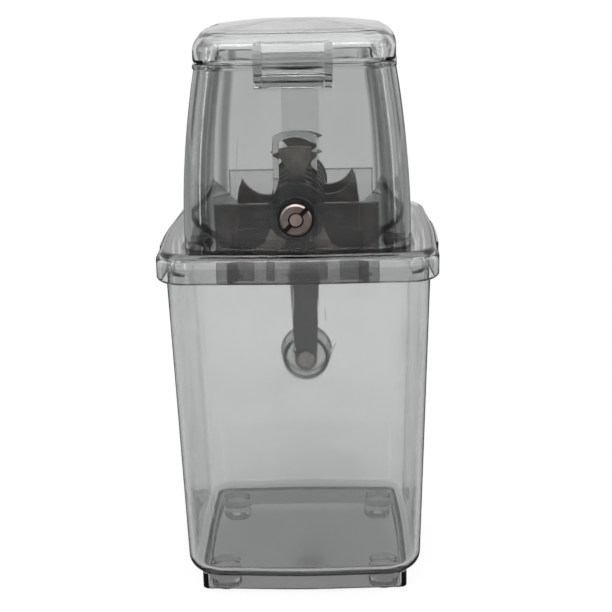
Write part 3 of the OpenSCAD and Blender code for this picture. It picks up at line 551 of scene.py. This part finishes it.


# Painted shade: the bin's floor and its skirt are tinted darker, standing in for the shadow under the bin.
BIN_FLOOR_SHADE = region(up=(None, FOOT_TOP + 2.8))
SKIRT_SHADE = region(up=(None, FOOT_TOP - 0.3))
# Painted highlight: the collar's deck is tinted lighter, standing in for the light that its top catches.
DECK = region(up=(DECK_PLATE_Z, None))
REAR_COLUMN = region(across=(None, 9.3), along=(38.0, None))
# Painted shade: the lid's hinge ears and the lower part of its hood are tinted darker, standing in for the dark
# outlines and shade round the hinge.
HINGE_EAR_SHADE = region(along=(None, HOOD_BACK), across=(HOOD_HALF, None))
HOOD_FOOT_SHADE = region(along=(None, HOOD_BACK), up=(None, HINGE_Z + 8.3), across=(None, HOOD_HALF))
# Partly the chamber's dark plastic, partly painted shade: its sides and front wall are tinted darker than the rest of
# it.
CHAMBER_SIDES = region(across=(CHAMBER_HALF, None))
FRONT_WALL = region(along=(None, CHAMBER_FRONT), up=(DECK_PLATE_Z, None), across=(None, CHAMBER_HALF))
# Painted shade: a darker frame round the chamber's front wall, and a dark apron below the deck plate.
WALL_FRAME_SHADE = region(along=(None, CHAMBER_FRONT - 2.4), up=(DECK_PLATE_Z, None), across=(None, CHAMBER_HALF))
APRON_SHADE = region(along=(None, CHAMBER_FRONT), up=(None, DECK_PLATE_Z))
# Painted shade: the nut is painted near black more than 1 mm behind its front face, standing in for the shade in its
# slots.
NUT_SLOT_SHADE = region(along=(low("front_nut", 1) - AXIS_Y + 1.0, None))


def make_looks():
    """Builds the shader groups and every material once."""
    if LOOKS:
        return
    GROUPS["handling"] = handling_group()
    GROUPS["grain"] = grain_group()
    finish = bpy.context.scene.crusher_finish
    tub, housing, lid, front = finish.bin_tint, finish.housing_tint, finish.lid_tint, finish.front_plastic_and_shade
    claw, nut, bright = finish.claw_colour, finish.nut_colour, finish.bright_colour
    foot = clear_plastic("foot clear smoke", (0.99, 0.99, 0.99), PALE_SMOKE, 20.0, 0.5)
    # The collar is tinted a little darker than the hopper, as painted shade of the band under the deck.
    collar = clear_plastic("collar clear smoke", tone(housing, 0.94), SMOKE, 105.0)
    ice_bin = clear_plastic("bin clear smoke", tub, PALE_SMOKE, 105.0, 0.5)
    hopper = clear_plastic("hopper clear smoke", housing, SMOKE, 105.0)
    cover = clear_plastic("lid clear smoke", lid, SMOKE, 50.0)
    chamber = clear_plastic("chamber smoke", finish.chamber_tint, (0.24, 0.2, 0.18), 45.0, 0.8, 0.06)
    plated = steel("dull plated steel", nut, tone(nut, 0.6), (1.0, 0.4, 1.0), 600.0, 0.42)
    shaft = tuple(min(1.0, c * 1.5) for c in nut)
    LOOKS.update({
        "foot": foot,
        # Painted highlight on the deck, over the collar's painted darker band.
        "collar": deepen(collar, (DECK, tone(housing, 1.12))),
        # The darker floor and skirt of the bin are painted shade of the shadow under it.
        "bin": deepen(ice_bin, (BIN_FLOOR_SHADE, tone(tub, 0.82)), (SKIRT_SHADE, tone(tub, 0.72))),
        # Painted shade: dark strips down the hopper's round corners.
        "hopper": deepen(hopper, (corner_streak_shade, tone(housing, 0.42)), (REAR_COLUMN, tone(housing, 0.88))),
        "housing": clear_plastic("housing clear smoke", housing, SMOKE, 105.0),
        # Painted shade: the locating tabs are the housing's plastic tinted much darker, for the shade under the deck.
        "tab": clear_plastic("tab smoke in painted shade", tone(housing, 0.48), SMOKE, 105.0),
        # Painted shade round the lid's hinge.
        "lid": deepen(cover, (HINGE_EAR_SHADE, tone(lid, 0.72)), (HOOD_FOOT_SHADE, tone(lid, 0.82))),
        # Sides and front wall: the chamber's dark plastic with painted shade.
        "chamber": deepen(chamber, (CHAMBER_SIDES, finish.wing_plastic_and_shade), (FRONT_WALL, front),
                          # Painted shade: the dark apron below the deck, the darker frame and the dark edges of the
                          # end walls.
                          (APRON_SHADE, (0.45, 0.44, 0.43)), (WALL_FRAME_SHADE, tone(front, 0.45)),
                          (edge_shade_mask, (0.25, 0.245, 0.24))),
        "black": matt_plastic("black moulding", finish.black_colour, 0.42),
        "arm": matt_plastic("crank arm moulding", finish.arm_colour, 0.4),
        "claw": steel("stamped claw steel", claw, tone(claw, 0.6), (1.0, 0.2, 3.0), 500.0, 0.4),
        "comb": steel("comb plate steel", (0.42, 0.38, 0.36), (0.26, 0.22, 0.2), (1.0, 0.3, 3.0), 500.0, 0.42),
        # Painted shade in the nut's slots.
        "nut": deepen(plated, (NUT_SLOT_SHADE, (0.035, 0.03, 0.03))),
        "shaft": steel("worn shaft steel", shaft, nut, (1.0, 0.4, 1.0), 600.0, 0.42),
        "washer": steel("dark washer steel", (0.06, 0.058, 0.058), (0.03, 0.03, 0.03), (1.0, 0.4, 1.0), 600.0, 0.4),
        "pin": steel("hinge pin steel", (0.55, 0.55, 0.54), (0.42, 0.42, 0.41), (6.0, 1.0, 1.0), 600.0, 0.35),
        "bright": steel("turned steel", bright, tone(bright, 0.72), (1.0, 6.0, 1.0), 700.0, 0.3),
    })


def recolour(look, *names):
    """Gives CAD nodes a material in each of their slots."""
    for name in names:
        obj = NODES[name]
        if not obj.material_slots:
            obj.data.materials.append(LOOKS[look])
        for slot in obj.material_slots:
            slot.material = LOOKS[look]


# ---------- shapes of the clear shells ----------

def arc(steps, a0, a1):
    """Sine and cosine pairs over an arc, both ends included."""
    angles = [math.radians(a0 + (a1 - a0) * i / steps) for i in range(steps + 1)]
    return [(math.sin(a), math.cos(a)) for a in angles]


def bin_rings():
    """Up the skirt's inside and outside, up the wall to the rim, and down the wall's inside."""
    s = bpy.context.scene.crusher_sizes
    floor_z, wall = s.floor_z, s.thin_wall
    skirt_longer, fillet, floor_t, rim_h = -3.0, 7.0, 2.6, 6
    foot_z = low("ice_bin", 2)
    skirt, inside = s.skirt_w, s.skirt_w - 4.8
    rings = [(z, w, r, skirt_longer) for z, w, r in (
        (floor_z, inside - 1, 2.0), (floor_z - 0.5, inside, 2.0), (foot_z + 0.3, inside, 2.0),
        (foot_z, inside + 0.6, 2.0), (foot_z, skirt - 0.6, 3.0), (foot_z + 0.3, skirt, 3.0),
        (floor_z - 0.2, skirt, 3.0))]
    for sine, cosine in arc(9, 8, 90):
        inset = fillet * (1 - sine)
        rings.append((floor_z + fillet * (1 - cosine), s.bin_bottom_w - 2 * inset, s.bin_corner - 0.8 * inset,
                      BIN_LONGER))
    wall_top = RIM_Z - rim_h
    straight = floor_z + fillet

    def width(z):
        return s.bin_bottom_w + (s.bin_top_w - s.bin_bottom_w) * (z - straight) / (wall_top - straight)
    for i in range(1, 7):
        z = straight + (wall_top - 2 - straight) * i / 6
        rings.append((z, width(z), s.bin_corner, BIN_LONGER))
    rim, mouth = s.collar_w - 5.2, s.bin_top_w - 2 * wall
    for z, w in ((wall_top - 0.6, rim - 0.9), (wall_top + 0.4, rim - 0.2), (wall_top + 1.2, rim),
                 (RIM_Z - 0.8, rim), (RIM_Z - 0.2, rim - 0.4), (RIM_Z, rim - 1.2)):
        rings.append((z, w, s.bin_corner + 1, BIN_LONGER))
    corner = s.bin_corner - wall
    inner_top = RIM_Z - 0.4
    rings += [(RIM_Z, mouth + 0.8, corner, BIN_LONGER), (inner_top, mouth, corner, BIN_LONGER)]
    inner_floor, inner_fillet = floor_z + floor_t, fillet - wall + 0.6
    inner_low = inner_floor + inner_fillet
    for i in range(1, 7):
        z = inner_top - (inner_top - inner_low) * i / 7
        rings.append((z, width(min(z, wall_top)) - 2 * wall, corner, BIN_LONGER))
    for sine, cosine in arc(9, 90, 0):
        inset = inner_fillet * (1 - sine)
        rings.append((inner_floor + inner_fillet * (1 - cosine), s.bin_bottom_w - 2 * wall - 2 * inset,
                      corner - 0.8 * inset, BIN_LONGER))
    return rings


def collar_rings():
    """Up the band, over the two-step round to the deck's opening, and back underneath."""
    s = bpy.context.scene.crusher_sizes
    w, r = s.collar_w, s.collar_corner
    inner, inner_r = w - 4, r - 2
    opening, opening_r = s.hopper_base_w - 2 * s.wall, 11.6
    rings = [(COLLAR_Z, inner, inner_r, BIN_LONGER), (COLLAR_Z, w - 2.2, r - 0.6, BIN_LONGER),
             (COLLAR_Z + 0.5, w - 0.9, r, BIN_LONGER), (COLLAR_Z + 1.4, w, r, BIN_LONGER),
             (DECK_Z - 4.3, w, r, BIN_LONGER)]
    for sine, cosine in arc(6, 8, 78):
        rings.append((DECK_Z - 0.95 - 2.9 * (1 - sine), w - 2 * 2.3 * (1 - cosine), r - 0.8 * (1 - cosine),
                      BIN_LONGER))
    for sine, cosine in arc(4, 15, 80):
        rings.append((DECK_Z - 0.02 - 0.9 * (1 - sine), w - 4.8 - 2 * 1.1 * (1 - cosine),
                      r - 1.6 - 0.4 * (1 - cosine), BIN_LONGER))
    rings += [(DECK_Z - 0.01, w - 9.4, r - 2.5, BIN_LONGER), (DECK_Z, s.hopper_base_w + 6, 17.0, 1.5),
              (DECK_Z, opening, opening_r, DECK_LONGER), (UNDER_DECK, opening, opening_r, DECK_LONGER),
              (UNDER_DECK, inner - 1, inner_r - 0.5, BIN_LONGER), (UNDER_DECK - 0.5, inner, inner_r, BIN_LONGER)]
    return rings


def hopper_rise(z):
    """Share of the hopper's height, 0 on the deck and 1 at the mouth."""
    return (z - DECK_Z) / (MOUTH_Z - DECK_Z)


def hopper_w(z):
    """The hopper's outer width at a height."""
    s = bpy.context.scene.crusher_sizes
    return s.hopper_base_w + (s.hopper_top_w - s.hopper_base_w) * hopper_rise(z) ** 2


def hopper_extra(z):
    """How much longer than wide the hopper is at a height."""
    return DECK_LONGER + (LID_LONGER - DECK_LONGER) * hopper_rise(z) ** 2


def hopper_side_y(z):
    """How far the hopper's front and rear walls stand from the axis at a height."""
    return (hopper_w(z) + hopper_extra(z)) / 2 + bpy.context.scene.crusher_sizes.bow


def hopper_rings():
    """Up the wall's outside to the mouth's flange, and down the inside."""
    s = bpy.context.scene.crusher_sizes
    foot, flange_z, steps = DECK_Z + 0.02, MOUTH_Z - 2.4, 16
    levels = [foot + (flange_z - foot) * i / steps for i in range(steps + 1)]
    mouth = s.hopper_top_w + 1.8

    def corner(z):
        return 14.0 - 3.0 * hopper_rise(z)
    rings = [(z, hopper_w(z), corner(z), hopper_extra(z)) for z in levels]
    rings += [(z, w, r, LID_LONGER) for z, w, r in (
        (flange_z + 0.35, mouth - 0.3, EDGE_R), (flange_z + 0.6, mouth, EDGE_R), (MOUTH_Z - 0.6, mouth, EDGE_R),
        (MOUTH_Z - 0.2, mouth - 0.3, EDGE_R), (MOUTH_Z, mouth - 1.0, 10.6),
        (MOUTH_Z, s.hopper_top_w - 2 * s.wall + 0.5, 10.4))]
    rings += [(z, hopper_w(z) - 2 * s.wall, corner(z) - 0.6, hopper_extra(z)) for z in reversed(levels)]
    return rings


def lid_rings():
    """Down the dome's inside to the lip, out under the edge, and up the dome's outside."""
    s = bpy.context.scene.crusher_sizes
    wall = s.thin_wall
    lid_w, lip_w = s.hopper_top_w + 1.2, s.hopper_top_w - 2 * s.wall - 2.4
    sweep, dome_h, crown, steps = 70.0, 3.4, 0.02, 10
    shelf_z, lip_z = LID_Z + 1.6, MOUTH_Z - 2.0
    wall_z = high("lid", 2) - dome_h - s.lid_shoulder * math.sin(math.radians(sweep))

    def edge_r(w):
        return EDGE_R * w / lid_w

    def side(inset):
        r = s.lid_shoulder - inset
        rings = []
        for sine, cosine in arc(steps, 0, sweep):
            w = lid_w - 2 * inset - 2 * r * (1 - cosine)
            rings.append((wall_z + r * sine, w, edge_r(w), LID_LONGER))
        dome_z, dome_w = rings[-1][:2]
        for i in range(1, steps + 1):
            share = 1 - (1 - crown) * i / steps
            rings.append((dome_z + dome_h * (1 - share * share) / (1 - crown * crown), dome_w * share,
                          edge_r(dome_w * share), LID_LONGER * share))
        return rings
    edge = [(z, w, r, LID_LONGER) for z, w, r in (
        (shelf_z, lid_w - 2 * wall, EDGE_R - wall), (shelf_z, lip_w - 3.2, 7.0), (lip_z + 0.3, lip_w - 3.2, 7.0),
        (lip_z, lip_w - 2.6, 7.2), (lip_z, lip_w - 0.6, 7.8), (lip_z + 0.3, lip_w, 8.0), (LID_Z, lip_w, 8.0),
        (LID_Z, lid_w - 3.0, 9.5), (LID_Z + 0.3, lid_w - 1.2, 10.4), (LID_Z + 0.8, lid_w - 0.3, 10.85),
        (LID_Z + 1.5, lid_w, EDGE_R))]
    return side(wall)[::-1] + edge + side(0)


# ---------- operators, one for each piece or group of like pieces ----------

class MakeBin(bpy.types.Operator):
    """Makes the clear ice bin with its skirt"""
    bl_idname = "crusher.make_bin"
    bl_label = "Ice bin"

    def execute(self, context):
        make_looks()
        dress(smooth(shell("clear_bin", bin_rings())), LOOKS["bin"], "bin", "bin_plastic", "ice_bin")
        return {"FINISHED"}


class MakeFeet(bpy.types.Operator):
    """Makes the four turned feet with Geometry Nodes"""
    bl_idname = "crusher.make_feet"
    bl_label = "Feet"

    def execute(self, context):
        make_looks()
        middles = [(BOX[name][0] + BOX[name][1]) / 2 for name in FEET]
        feet = add_mesh("clear_feet", [(middle.x, middle.y, 0) for middle in middles], [])
        lower, upper = BOX[FEET[0]]
        sizes = {"Radius": (upper.x - lower.x) / 2, "Height": upper.z - 0.06 * MM}
        grow_instances(feet, "Turned feet", foot_tree(LOOKS["foot"]), sizes)
        dress(smooth(feet), LOOKS["foot"], "bin", "bin_plastic", *FEET)
        return {"FINISHED"}


class MakeCollar(bpy.types.Operator):
    """Makes the collar with its deck, grip pads and locating tabs"""
    bl_idname = "crusher.make_collar"
    bl_label = "Collar"

    def execute(self, context):
        make_looks()
        s = context.scene.crusher_sizes
        collar = shell("clear_collar", collar_rings(), loop=True)
        run = s.collar_w / 2 - s.collar_corner
        half, proud, sunk = 23, 0.8, 0.4
        side = [(s.collar_w / 2 + s.bow * (1 - (y / run) ** 2) ** 2, y) for y in range(-half, half + 1, 2)]
        pads = []
        for k in (-1, 1):
            outline = [(k * (x + proud), y) for x, y in side] + [(k * (x - sunk), y) for x, y in reversed(side)]
            pads.append(prism("grip pad", outline, "z", COLLAR_Z + 2.6, COLLAR_Z + 9.0))
        combine(collar, pads, "UNION")
        dress(smooth(collar), LOOKS["collar"], "housing", "housing_plastic", "collar")
        self.make_tabs(s)
        return {"FINISHED"}

    def make_tabs(self, s):
        """Makes the tabs inside the bin's rim, four on each side."""
        thickness, height = 1.6, 8.6
        spots, lengths, turns = [], [], []
        for turn, (c, n) in enumerate(QUARTERS):
            longer = 0 if turn % 2 == 0 else -BIN_LONGER
            x = (s.bin_top_w - longer) / 2 - s.thin_wall - 0.4 - thickness / 2
            for a, b in ((-28, -18), (-13, -9.4), (9.4, 13), (18, 28)):
                y = (a + b) / 2
                spots.append((x * c - y * n, x * n + y * c, UNDER_DECK - 0.05 - height / 2))
                lengths.append((b - a) * MM)
                turns.append(turn * math.pi / 2)
        tabs = mesh_object("locating_tabs", spots, [])
        for key, values in (("length", lengths), ("turn", turns)):
            tabs.data.attributes.new(key, "FLOAT", "POINT").data.foreach_set("value", values)
        sizes = {"Thickness": thickness * MM, "Height": height * MM}
        grow_instances(tabs, "Locating tabs", tab_tree(LOOKS["tab"]), sizes)
        dress(tabs, LOOKS["tab"], "housing", "housing_plastic")


def front_column(name, half, face, top, back):
    """A column with an arched top that stands out from the hopper's front wall, or its hollow."""
    outline = [(-half, DECK_Z + 0.05), (half, DECK_Z + 0.05)] + arch(half, top - 2.2, top)
    column = prism(name, outline, "y", -face, -40.0)
    levels = [DECK_Z - 1 + (top + 2 - DECK_Z) * i / 12 for i in range(13)]
    limit = [(-face - 1, DECK_Z - 1)] + [(back - hopper_side_y(z), z) for z in levels] + [(-face - 1, top + 2)]
    return combine(column, [prism("column limit", limit, "x", -12, 12)], "INTERSECT")


class MakeHopper(bpy.types.Operator):
    """Makes the hopper with its bearing columns, bosses and hinge knuckle"""
    bl_idname = "crusher.make_hopper"
    bl_label = "Hopper"

    def execute(self, context):
        make_looks()
        wall = context.scene.crusher_sizes.wall
        hopper = shell("clear_hopper", hopper_rings(), loop=True)
        half, top, face = COLUMN_HALF, DECK_Z + COLUMN_H, high("rear_bush", 1) - AXIS_Y
        combine(hopper, [front_column("front column", half, face, top, 1.0)], "UNION")
        hollow = front_column("column hollow", half - wall, face - wall, top - wall, 1.0 + 2 * wall)
        combine(hopper, [hollow], "DIFFERENCE")
        foot = DECK_Z + 0.05
        levels = [foot + (MOUTH_Z - 2.4 - DECK_Z) * i / 12 for i in range(13)]
        strip = [(hopper_side_y(z) + 0.9, z) for z in levels]
        strip += [(hopper_side_y(z) - 1.0, z) for z in reversed(levels)]
        inside = -(high("crush_chamber", 1) - AXIS_Y) - 2.0
        web = box_outline(HINGE_Y, HINGE_Y + 6.4, HINGE_Z - 3, HINGE_Z + 3)
        parts = [prism("rear column", strip, "x", -half, half),
                 prism("front boss", circle(0, SHAFT_Z, half, 64), "y", -face, inside),
                 prism("rear boss", circle(0, SHAFT_Z, half, 64), "y", -inside, face),
                 prism("knuckle", circle(HINGE_Y, HINGE_Z, KNUCKLE_R), "x", -KNUCKLE_HALF, KNUCKLE_HALF),
                 prism("knuckle web", web, "x", -KNUCKLE_HALF, KNUCKLE_HALF)]
        reach = hopper_w(DECK_Z + 4) / 2 - 1.2
        for sx in (-1, 1):
            for sy in (-1, 1):
                x, y = sx * SCREW_X, sy * SCREW_Y
                rib = box_outline(*sorted((x, sx * reach)), y - 1, y + 1)
                parts += [prism("boss", circle(x, y, 3.4, 28), "z", foot, DECK_Z + 4.2),
                          prism("rib", rib, "z", foot, DECK_Z + 4.2)]
        combine(hopper, parts, "UNION")
        bore = circle(0, SHAFT_Z, BUSH_BORE)
        cuts = [prism("front bore", bore, "y", -face - 1, -30), prism("rear bore", bore, "y", 30, face + 1),
                prism("pin bore", circle(HINGE_Y, HINGE_Z, 1.6, 32), "x", -14, 14)]
        combine(hopper, cuts, "DIFFERENCE")
        dress(smooth(hopper), LOOKS["hopper"], "housing", "housing_plastic", "hopper")
        return {"FINISHED"}


class MakeLid(bpy.types.Operator):
    """Makes the domed lid with its hinge ears and hood"""
    bl_idname = "crusher.make_lid"
    bl_label = "Lid"

    def execute(self, context):
        make_looks()
        lid = shell("clear_lid", lid_rings())
        back, r = HINGE_Y + 6.0, KNUCKLE_R
        ear = circle(HINGE_Y, HINGE_Z, r, 24, 180, 360)
        ear += [(HINGE_Y + r, LID_Z), (back, LID_Z), (back, LID_Z + 8.4), (HINGE_Y - 1.5, LID_Z + 8),
                (HINGE_Y - r + 0.8, LID_Z + 5)]
        edge, thick = HINGE_Y - r + 1.2, 1.8
        hood = [(back, LID_Z + 9.2), (HINGE_Y + 1.2, LID_Z + 9.2), (edge, LID_Z + 5.4), (edge, LID_Z + 0.4),
                (edge + thick, LID_Z + 0.4), (edge + thick, LID_Z + 4.6), (HINGE_Y + thick, LID_Z + 7.2),
                (back, LID_Z + 7.2)]
        parts = [prism("ear", ear, "x", 12.9, 16.3), prism("ear", ear, "x", -16.3, -12.9),
                 prism("hood", hood, "x", -14.6, 14.6)]
        combine(lid, parts, "UNION")
        dress(smooth(lid), LOOKS["lid"], "lid", "housing_plastic", "lid")
        return {"FINISHED"}


class DressFrame(bpy.types.Operator):
    """Gives the CAD pieces of the rotor, chamber, crank and fasteners their materials"""
    bl_idname = "crusher.dress_frame"
    bl_label = "Chamber, rotor and crank"

    def execute(self, context):
        make_looks()
        recolour("chamber", "crush_chamber")
        recolour("comb", "fixed_comb_left", "fixed_comb_right")
        recolour("claw", *[n for n in NODES if n.startswith("claw_")])
        recolour("black", "front_bush", "rear_bush", "front_end_disc", "rear_end_disc", "front_end_spacer",
                 "rear_end_spacer", "crank_hub", *[n for n in NODES if n.startswith("spacer_")])
        recolour("bright", "chamber_screws", "comb_screws", "crank_nut", "knob_pin")
        recolour("nut", "front_nut")
        recolour("shaft", "drive_shaft")
        recolour("washer", "front_washer")
        recolour("pin", "hinge_pin")
        recolour("arm", "crank_arm")
        recolour("housing", "crank_knob")
        return {"FINISHED"}


# ---------- Geometry Nodes ----------

FOOT_SIDES = 48
WELD = 0.00001         # metres


def foot_tree(material):
    """A round foot with a chamfered edge on each point of the mesh."""
    tree, g, gin, gout = new_tree("GeometryNodeTree", "Turned feet",
                                  [("Geometry", GEOMETRY, None), ("Radius", FLOAT, 0.0069),
                                   ("Height", FLOAT, 0.0108), ("Edge", FLOAT, 0.0012)],
                                  [("Geometry", GEOMETRY)])
    radius, height, edge = [gin.outputs[key] for key in ("Radius", "Height", "Edge")]

    def cone(top, bottom, depth):
        inputs = {"Vertices": FOOT_SIDES, "Radius Top": top, "Radius Bottom": bottom, "Depth": depth}
        return g.add("GeometryNodeMeshCone", inputs, fill_type="NONE").outputs["Mesh"]

    def disc(r):
        inputs = {"Vertices": FOOT_SIDES, "Radius": r}
        return g.add("GeometryNodeMeshCircle", inputs, fill_type="NGON").outputs["Mesh"]

    def lifted(mesh, z):
        inputs = {"Geometry": mesh, "Translation": g.add("ShaderNodeCombineXYZ", {"Z": z}).outputs[0]}
        return g.add("GeometryNodeTransform", inputs).outputs["Geometry"]
    low_r = g.math("SUBTRACT", radius, edge)
    chamfer = cone(radius, low_r, edge)
    upright = lifted(cone(radius, radius, g.math("SUBTRACT", height, edge)), edge)
    underside = g.add("GeometryNodeFlipFaces", {"Mesh": disc(low_r)}).outputs["Mesh"]
    join = g.add("GeometryNodeJoinGeometry")
    for part in (chamfer, upright, underside, lifted(disc(radius), height)):
        g.links.new(part, join.inputs["Geometry"])
    weld = g.add("GeometryNodeMergeByDistance", {"Geometry": join.outputs[0], "Distance": WELD})
    finish_tree(g, gin, gout, material, {"Instance": weld.outputs[0]})
    return tree


def tab_tree(material):
    """A plate on each point, as long as the point's length and turned by its turn."""
    tree, g, gin, gout = new_tree("GeometryNodeTree", "Locating tabs",
                                  [("Geometry", GEOMETRY, None), ("Thickness", FLOAT, 0.0016),
                                   ("Height", FLOAT, 0.0086)],
                                  [("Geometry", GEOMETRY)])

    def vector(**parts):
        return g.add("ShaderNodeCombineXYZ", parts).outputs[0]

    def read(key):
        return g.add("GeometryNodeInputNamedAttribute", {"Name": key}, data_type="FLOAT").outputs["Attribute"]
    size = vector(X=gin.outputs["Thickness"], Y=1.0, Z=gin.outputs["Height"])
    plate = g.add("GeometryNodeMeshCube", {"Size": size}).outputs["Mesh"]
    finish_tree(g, gin, gout, material, {"Instance": plate, "Scale": vector(X=1.0, Y=read("length"), Z=1.0),
                                         "Rotation": vector(Z=read("turn"))})
    return tree


def finish_tree(g, gin, gout, material, instances):
    """Puts the instances on the points, realizes them and gives them their material."""
    spread = g.add("GeometryNodeInstanceOnPoints", {"Points": gin.outputs["Geometry"], **instances})
    real = g.add("GeometryNodeRealizeInstances", {"Geometry": spread.outputs["Instances"]})
    paint = g.add("GeometryNodeSetMaterial", {"Geometry": real.outputs["Geometry"], "Material": material})
    g.feed(gout.inputs["Geometry"], paint.outputs["Geometry"])


def grow_instances(obj, name, tree, values):
    """Runs a Geometry Nodes tree on a mesh and keeps the result as a plain mesh."""
    modifier = obj.modifiers.new(name, "NODES")
    modifier.node_group = tree
    for item in tree.interface.items_tree:
        if item.in_out == "INPUT" and item.name in values:
            modifier[item.identifier] = values[item.name]
    bpy.context.view_layer.update()
    evaluated(obj)
    if not obj.data.polygons:
        raise RuntimeError(f"{name} made no faces")
    return outward(obj)


# ---------- stage ----------

BACKDROP = 1.1         # brightness of the surroundings that the camera itself sees
FLAG_ANGLE = 45        # degrees from one grey flag to the next
CEILING = 5.0          # extra brightness overhead that glossy surfaces show
SENSOR_W = 36.0
TABLE_HALF = 20
LAMP_TARGET = (0, 0, 0.15)


def world_light(ambient):
    """A white surround; clear pieces also show eight grey flags, and glossy ones a bright ceiling."""
    world = bpy.data.worlds.new("studio")
    bpy.context.scene.world = world
    world.use_nodes = True
    g = Graph(world.node_tree)
    g.nodes.clear()
    out = g.add("ShaderNodeOutputWorld")
    ray = g.add("ShaderNodeLightPath").outputs
    towards = g.add("ShaderNodeSeparateXYZ", {0: g.add("ShaderNodeTexCoord").outputs["Generated"]}).outputs
    turn = g.math("ARCTAN2", towards["X"], towards["Y"])
    sector = g.math("FRACT", g.math("DIVIDE", turn, math.radians(FLAG_ANGLE)))
    off = g.math("ABSOLUTE", g.math("SUBTRACT", sector, 0.5))
    flags = g.remap(off, 0.17, 0.27, 0.2, 1.0)
    zenith = g.remap(towards["Z"], 0.45, 1.0, 1.0, 0.6)
    ceiling = g.remap(towards["Z"], 0.7, 0.82, 0.0, CEILING)

    def background(strength):
        return g.add("ShaderNodeBackground", {"Strength": strength}).outputs[0]
    light = background(ambient)
    for kind, strength in (("Is Glossy Ray", g.math("ADD", ceiling, 1.0)),
                           ("Is Transmission Ray", g.times(flags, zenith)), ("Is Camera Ray", BACKDROP)):
        light = g.mix_shader(ray[kind], light, background(strength))
    g.feed(out.inputs["Surface"], light)


def floor_look():
    """White table paper that keeps a soft shadow and is dim in reflections."""
    material, g, shader = new_material("white paper")
    fibre = g.noise(g.place(), 220.0, 3.0)
    g.feed(shader.inputs["Base Color"], g.mix_colour(fibre, (0.90, 0.90, 0.90), (0.93, 0.93, 0.93)))
    shader.inputs["Roughness"].default_value = 0.9
    shader.inputs["Specular IOR Level"].default_value = 0.1
    ray = g.add("ShaderNodeLightPath").outputs
    through = g.math("MAXIMUM", ray["Is Transmission Ray"], ray["Is Glossy Ray"])
    seen = g.math("MAXIMUM", g.times(through, 0.3), g.times(ray["Is Camera Ray"], 0.86))
    glow, card = [g.add("ShaderNodeEmission", {"Strength": strength}).outputs[0] for strength in (1.06, 0.0)]
    lit = g.mix_shader(seen, shader.outputs[0], glow)
    mirrored = g.math("GREATER_THAN", ray["Is Glossy Ray"], ray["Is Transmission Ray"])
    g.feed(g.nodes["Material Output"].inputs["Surface"], g.mix_shader(g.times(mirrored, 0.85), lit, card))
    return material


def soft_lamp(name, width, height, power, position):
    """A rectangular lamp that looks at the crusher."""
    data = bpy.data.lights.new(name, "AREA")
    data.shape = "RECTANGLE"
    data.size = width
    data.size_y = height
    data.energy = power
    lamp = bpy.data.objects.new(name, data)
    lamp.location = position
    lamp.rotation_euler = (Vector(LAMP_TARGET) - Vector(position)).to_track_quat("-Z", "Y").to_euler()
    bpy.context.scene.collection.objects.link(lamp)


def add_camera(studio):
    """Makes the camera that the studio's values describe."""
    target = Vector(studio.target)
    level = math.cos(studio.elevation)
    away = Vector((math.sin(studio.azimuth) * level, -math.cos(studio.azimuth) * level, math.sin(studio.elevation)))
    forward = -away
    right = forward.cross(Vector((0, 0, 1))).normalized()
    up = right.cross(forward)
    c, s = math.cos(studio.roll), math.sin(studio.roll)
    place = target + away * studio.distance
    data = bpy.data.cameras.new("camera")
    data.lens = studio.lens
    data.sensor_width = SENSOR_W
    camera = bpy.data.objects.new("camera", data)
    columns = [v.to_4d() for v in (right * c + up * s, up * c - right * s, away, place)]
    for column in columns[:3]:
        column.w = 0
    camera.matrix_world = Matrix(columns).transposed()
    bpy.context.scene.collection.objects.link(camera)
    return camera


class SetStage(bpy.types.Operator):
    """Sets the table, the light and the camera"""
    bl_idname = "crusher.set_stage"
    bl_label = "Stage, light and camera"

    def execute(self, context):
        scene = context.scene
        t = TABLE_HALF
        floor = add_mesh("table", [(-t, -t, 0), (t, -t, 0), (t, t, 0), (-t, t, 0)], [(0, 1, 2, 3)])
        floor.data.materials.append(floor_look())
        world_light(scene.crusher_studio.ambient)
        soft_lamp("top strip", 1.4, 0.14, 6.0, (0, -0.85, 0.95))
        soft_lamp("left strip", 0.1, 1.0, 2.5, (-0.85, -0.75, 0.3))
        soft_lamp("right strip", 0.1, 1.0, 2.0, (0.9, -0.65, 0.3))
        scene.camera = add_camera(scene.crusher_studio)
        scene.view_settings.view_transform = "Standard"
        return {"FINISHED"}


# ---------- panel and registration ----------

STEPS = (MakeBin, MakeFeet, MakeCollar, MakeHopper, MakeLid, DressFrame, SetStage)
SETTINGS = {"crusher_sizes": CrusherSizes, "crusher_finish": CrusherFinish, "crusher_studio": CrusherStudio}


class CrusherPanel(bpy.types.Panel):
    """Lists the pieces of the crusher and their sizes"""
    bl_idname = "VIEW3D_PT_crusher"
    bl_label = "Ice crusher"
    bl_space_type = "VIEW_3D"
    bl_region_type = "UI"
    bl_category = "Crusher"

    def draw(self, context):
        column = self.layout.column()
        for step in STEPS:
            column.operator(step.bl_idname)
        for group in SETTINGS:
            settings = getattr(context.scene, group)
            box = self.layout.box()
            for key in settings.__annotations__:
                box.prop(settings, key)


CLASSES = (*SETTINGS.values(), *STEPS, CrusherPanel)


def register():
    for cls in CLASSES:
        bpy.utils.register_class(cls)
    for key, group in SETTINGS.items():
        setattr(bpy.types.Scene, key, bpy.props.PointerProperty(type=group))


def unregister():
    for key in SETTINGS:
        delattr(bpy.types.Scene, key)
    for cls in reversed(CLASSES):
        bpy.utils.unregister_class(cls)


def main():
    """Registers the add-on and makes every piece."""
    register()
    for step in STEPS:
        group, name = step.bl_idname.split(".")
        getattr(getattr(bpy.ops, group), name)()


if __name__ == "__main__":
    main()
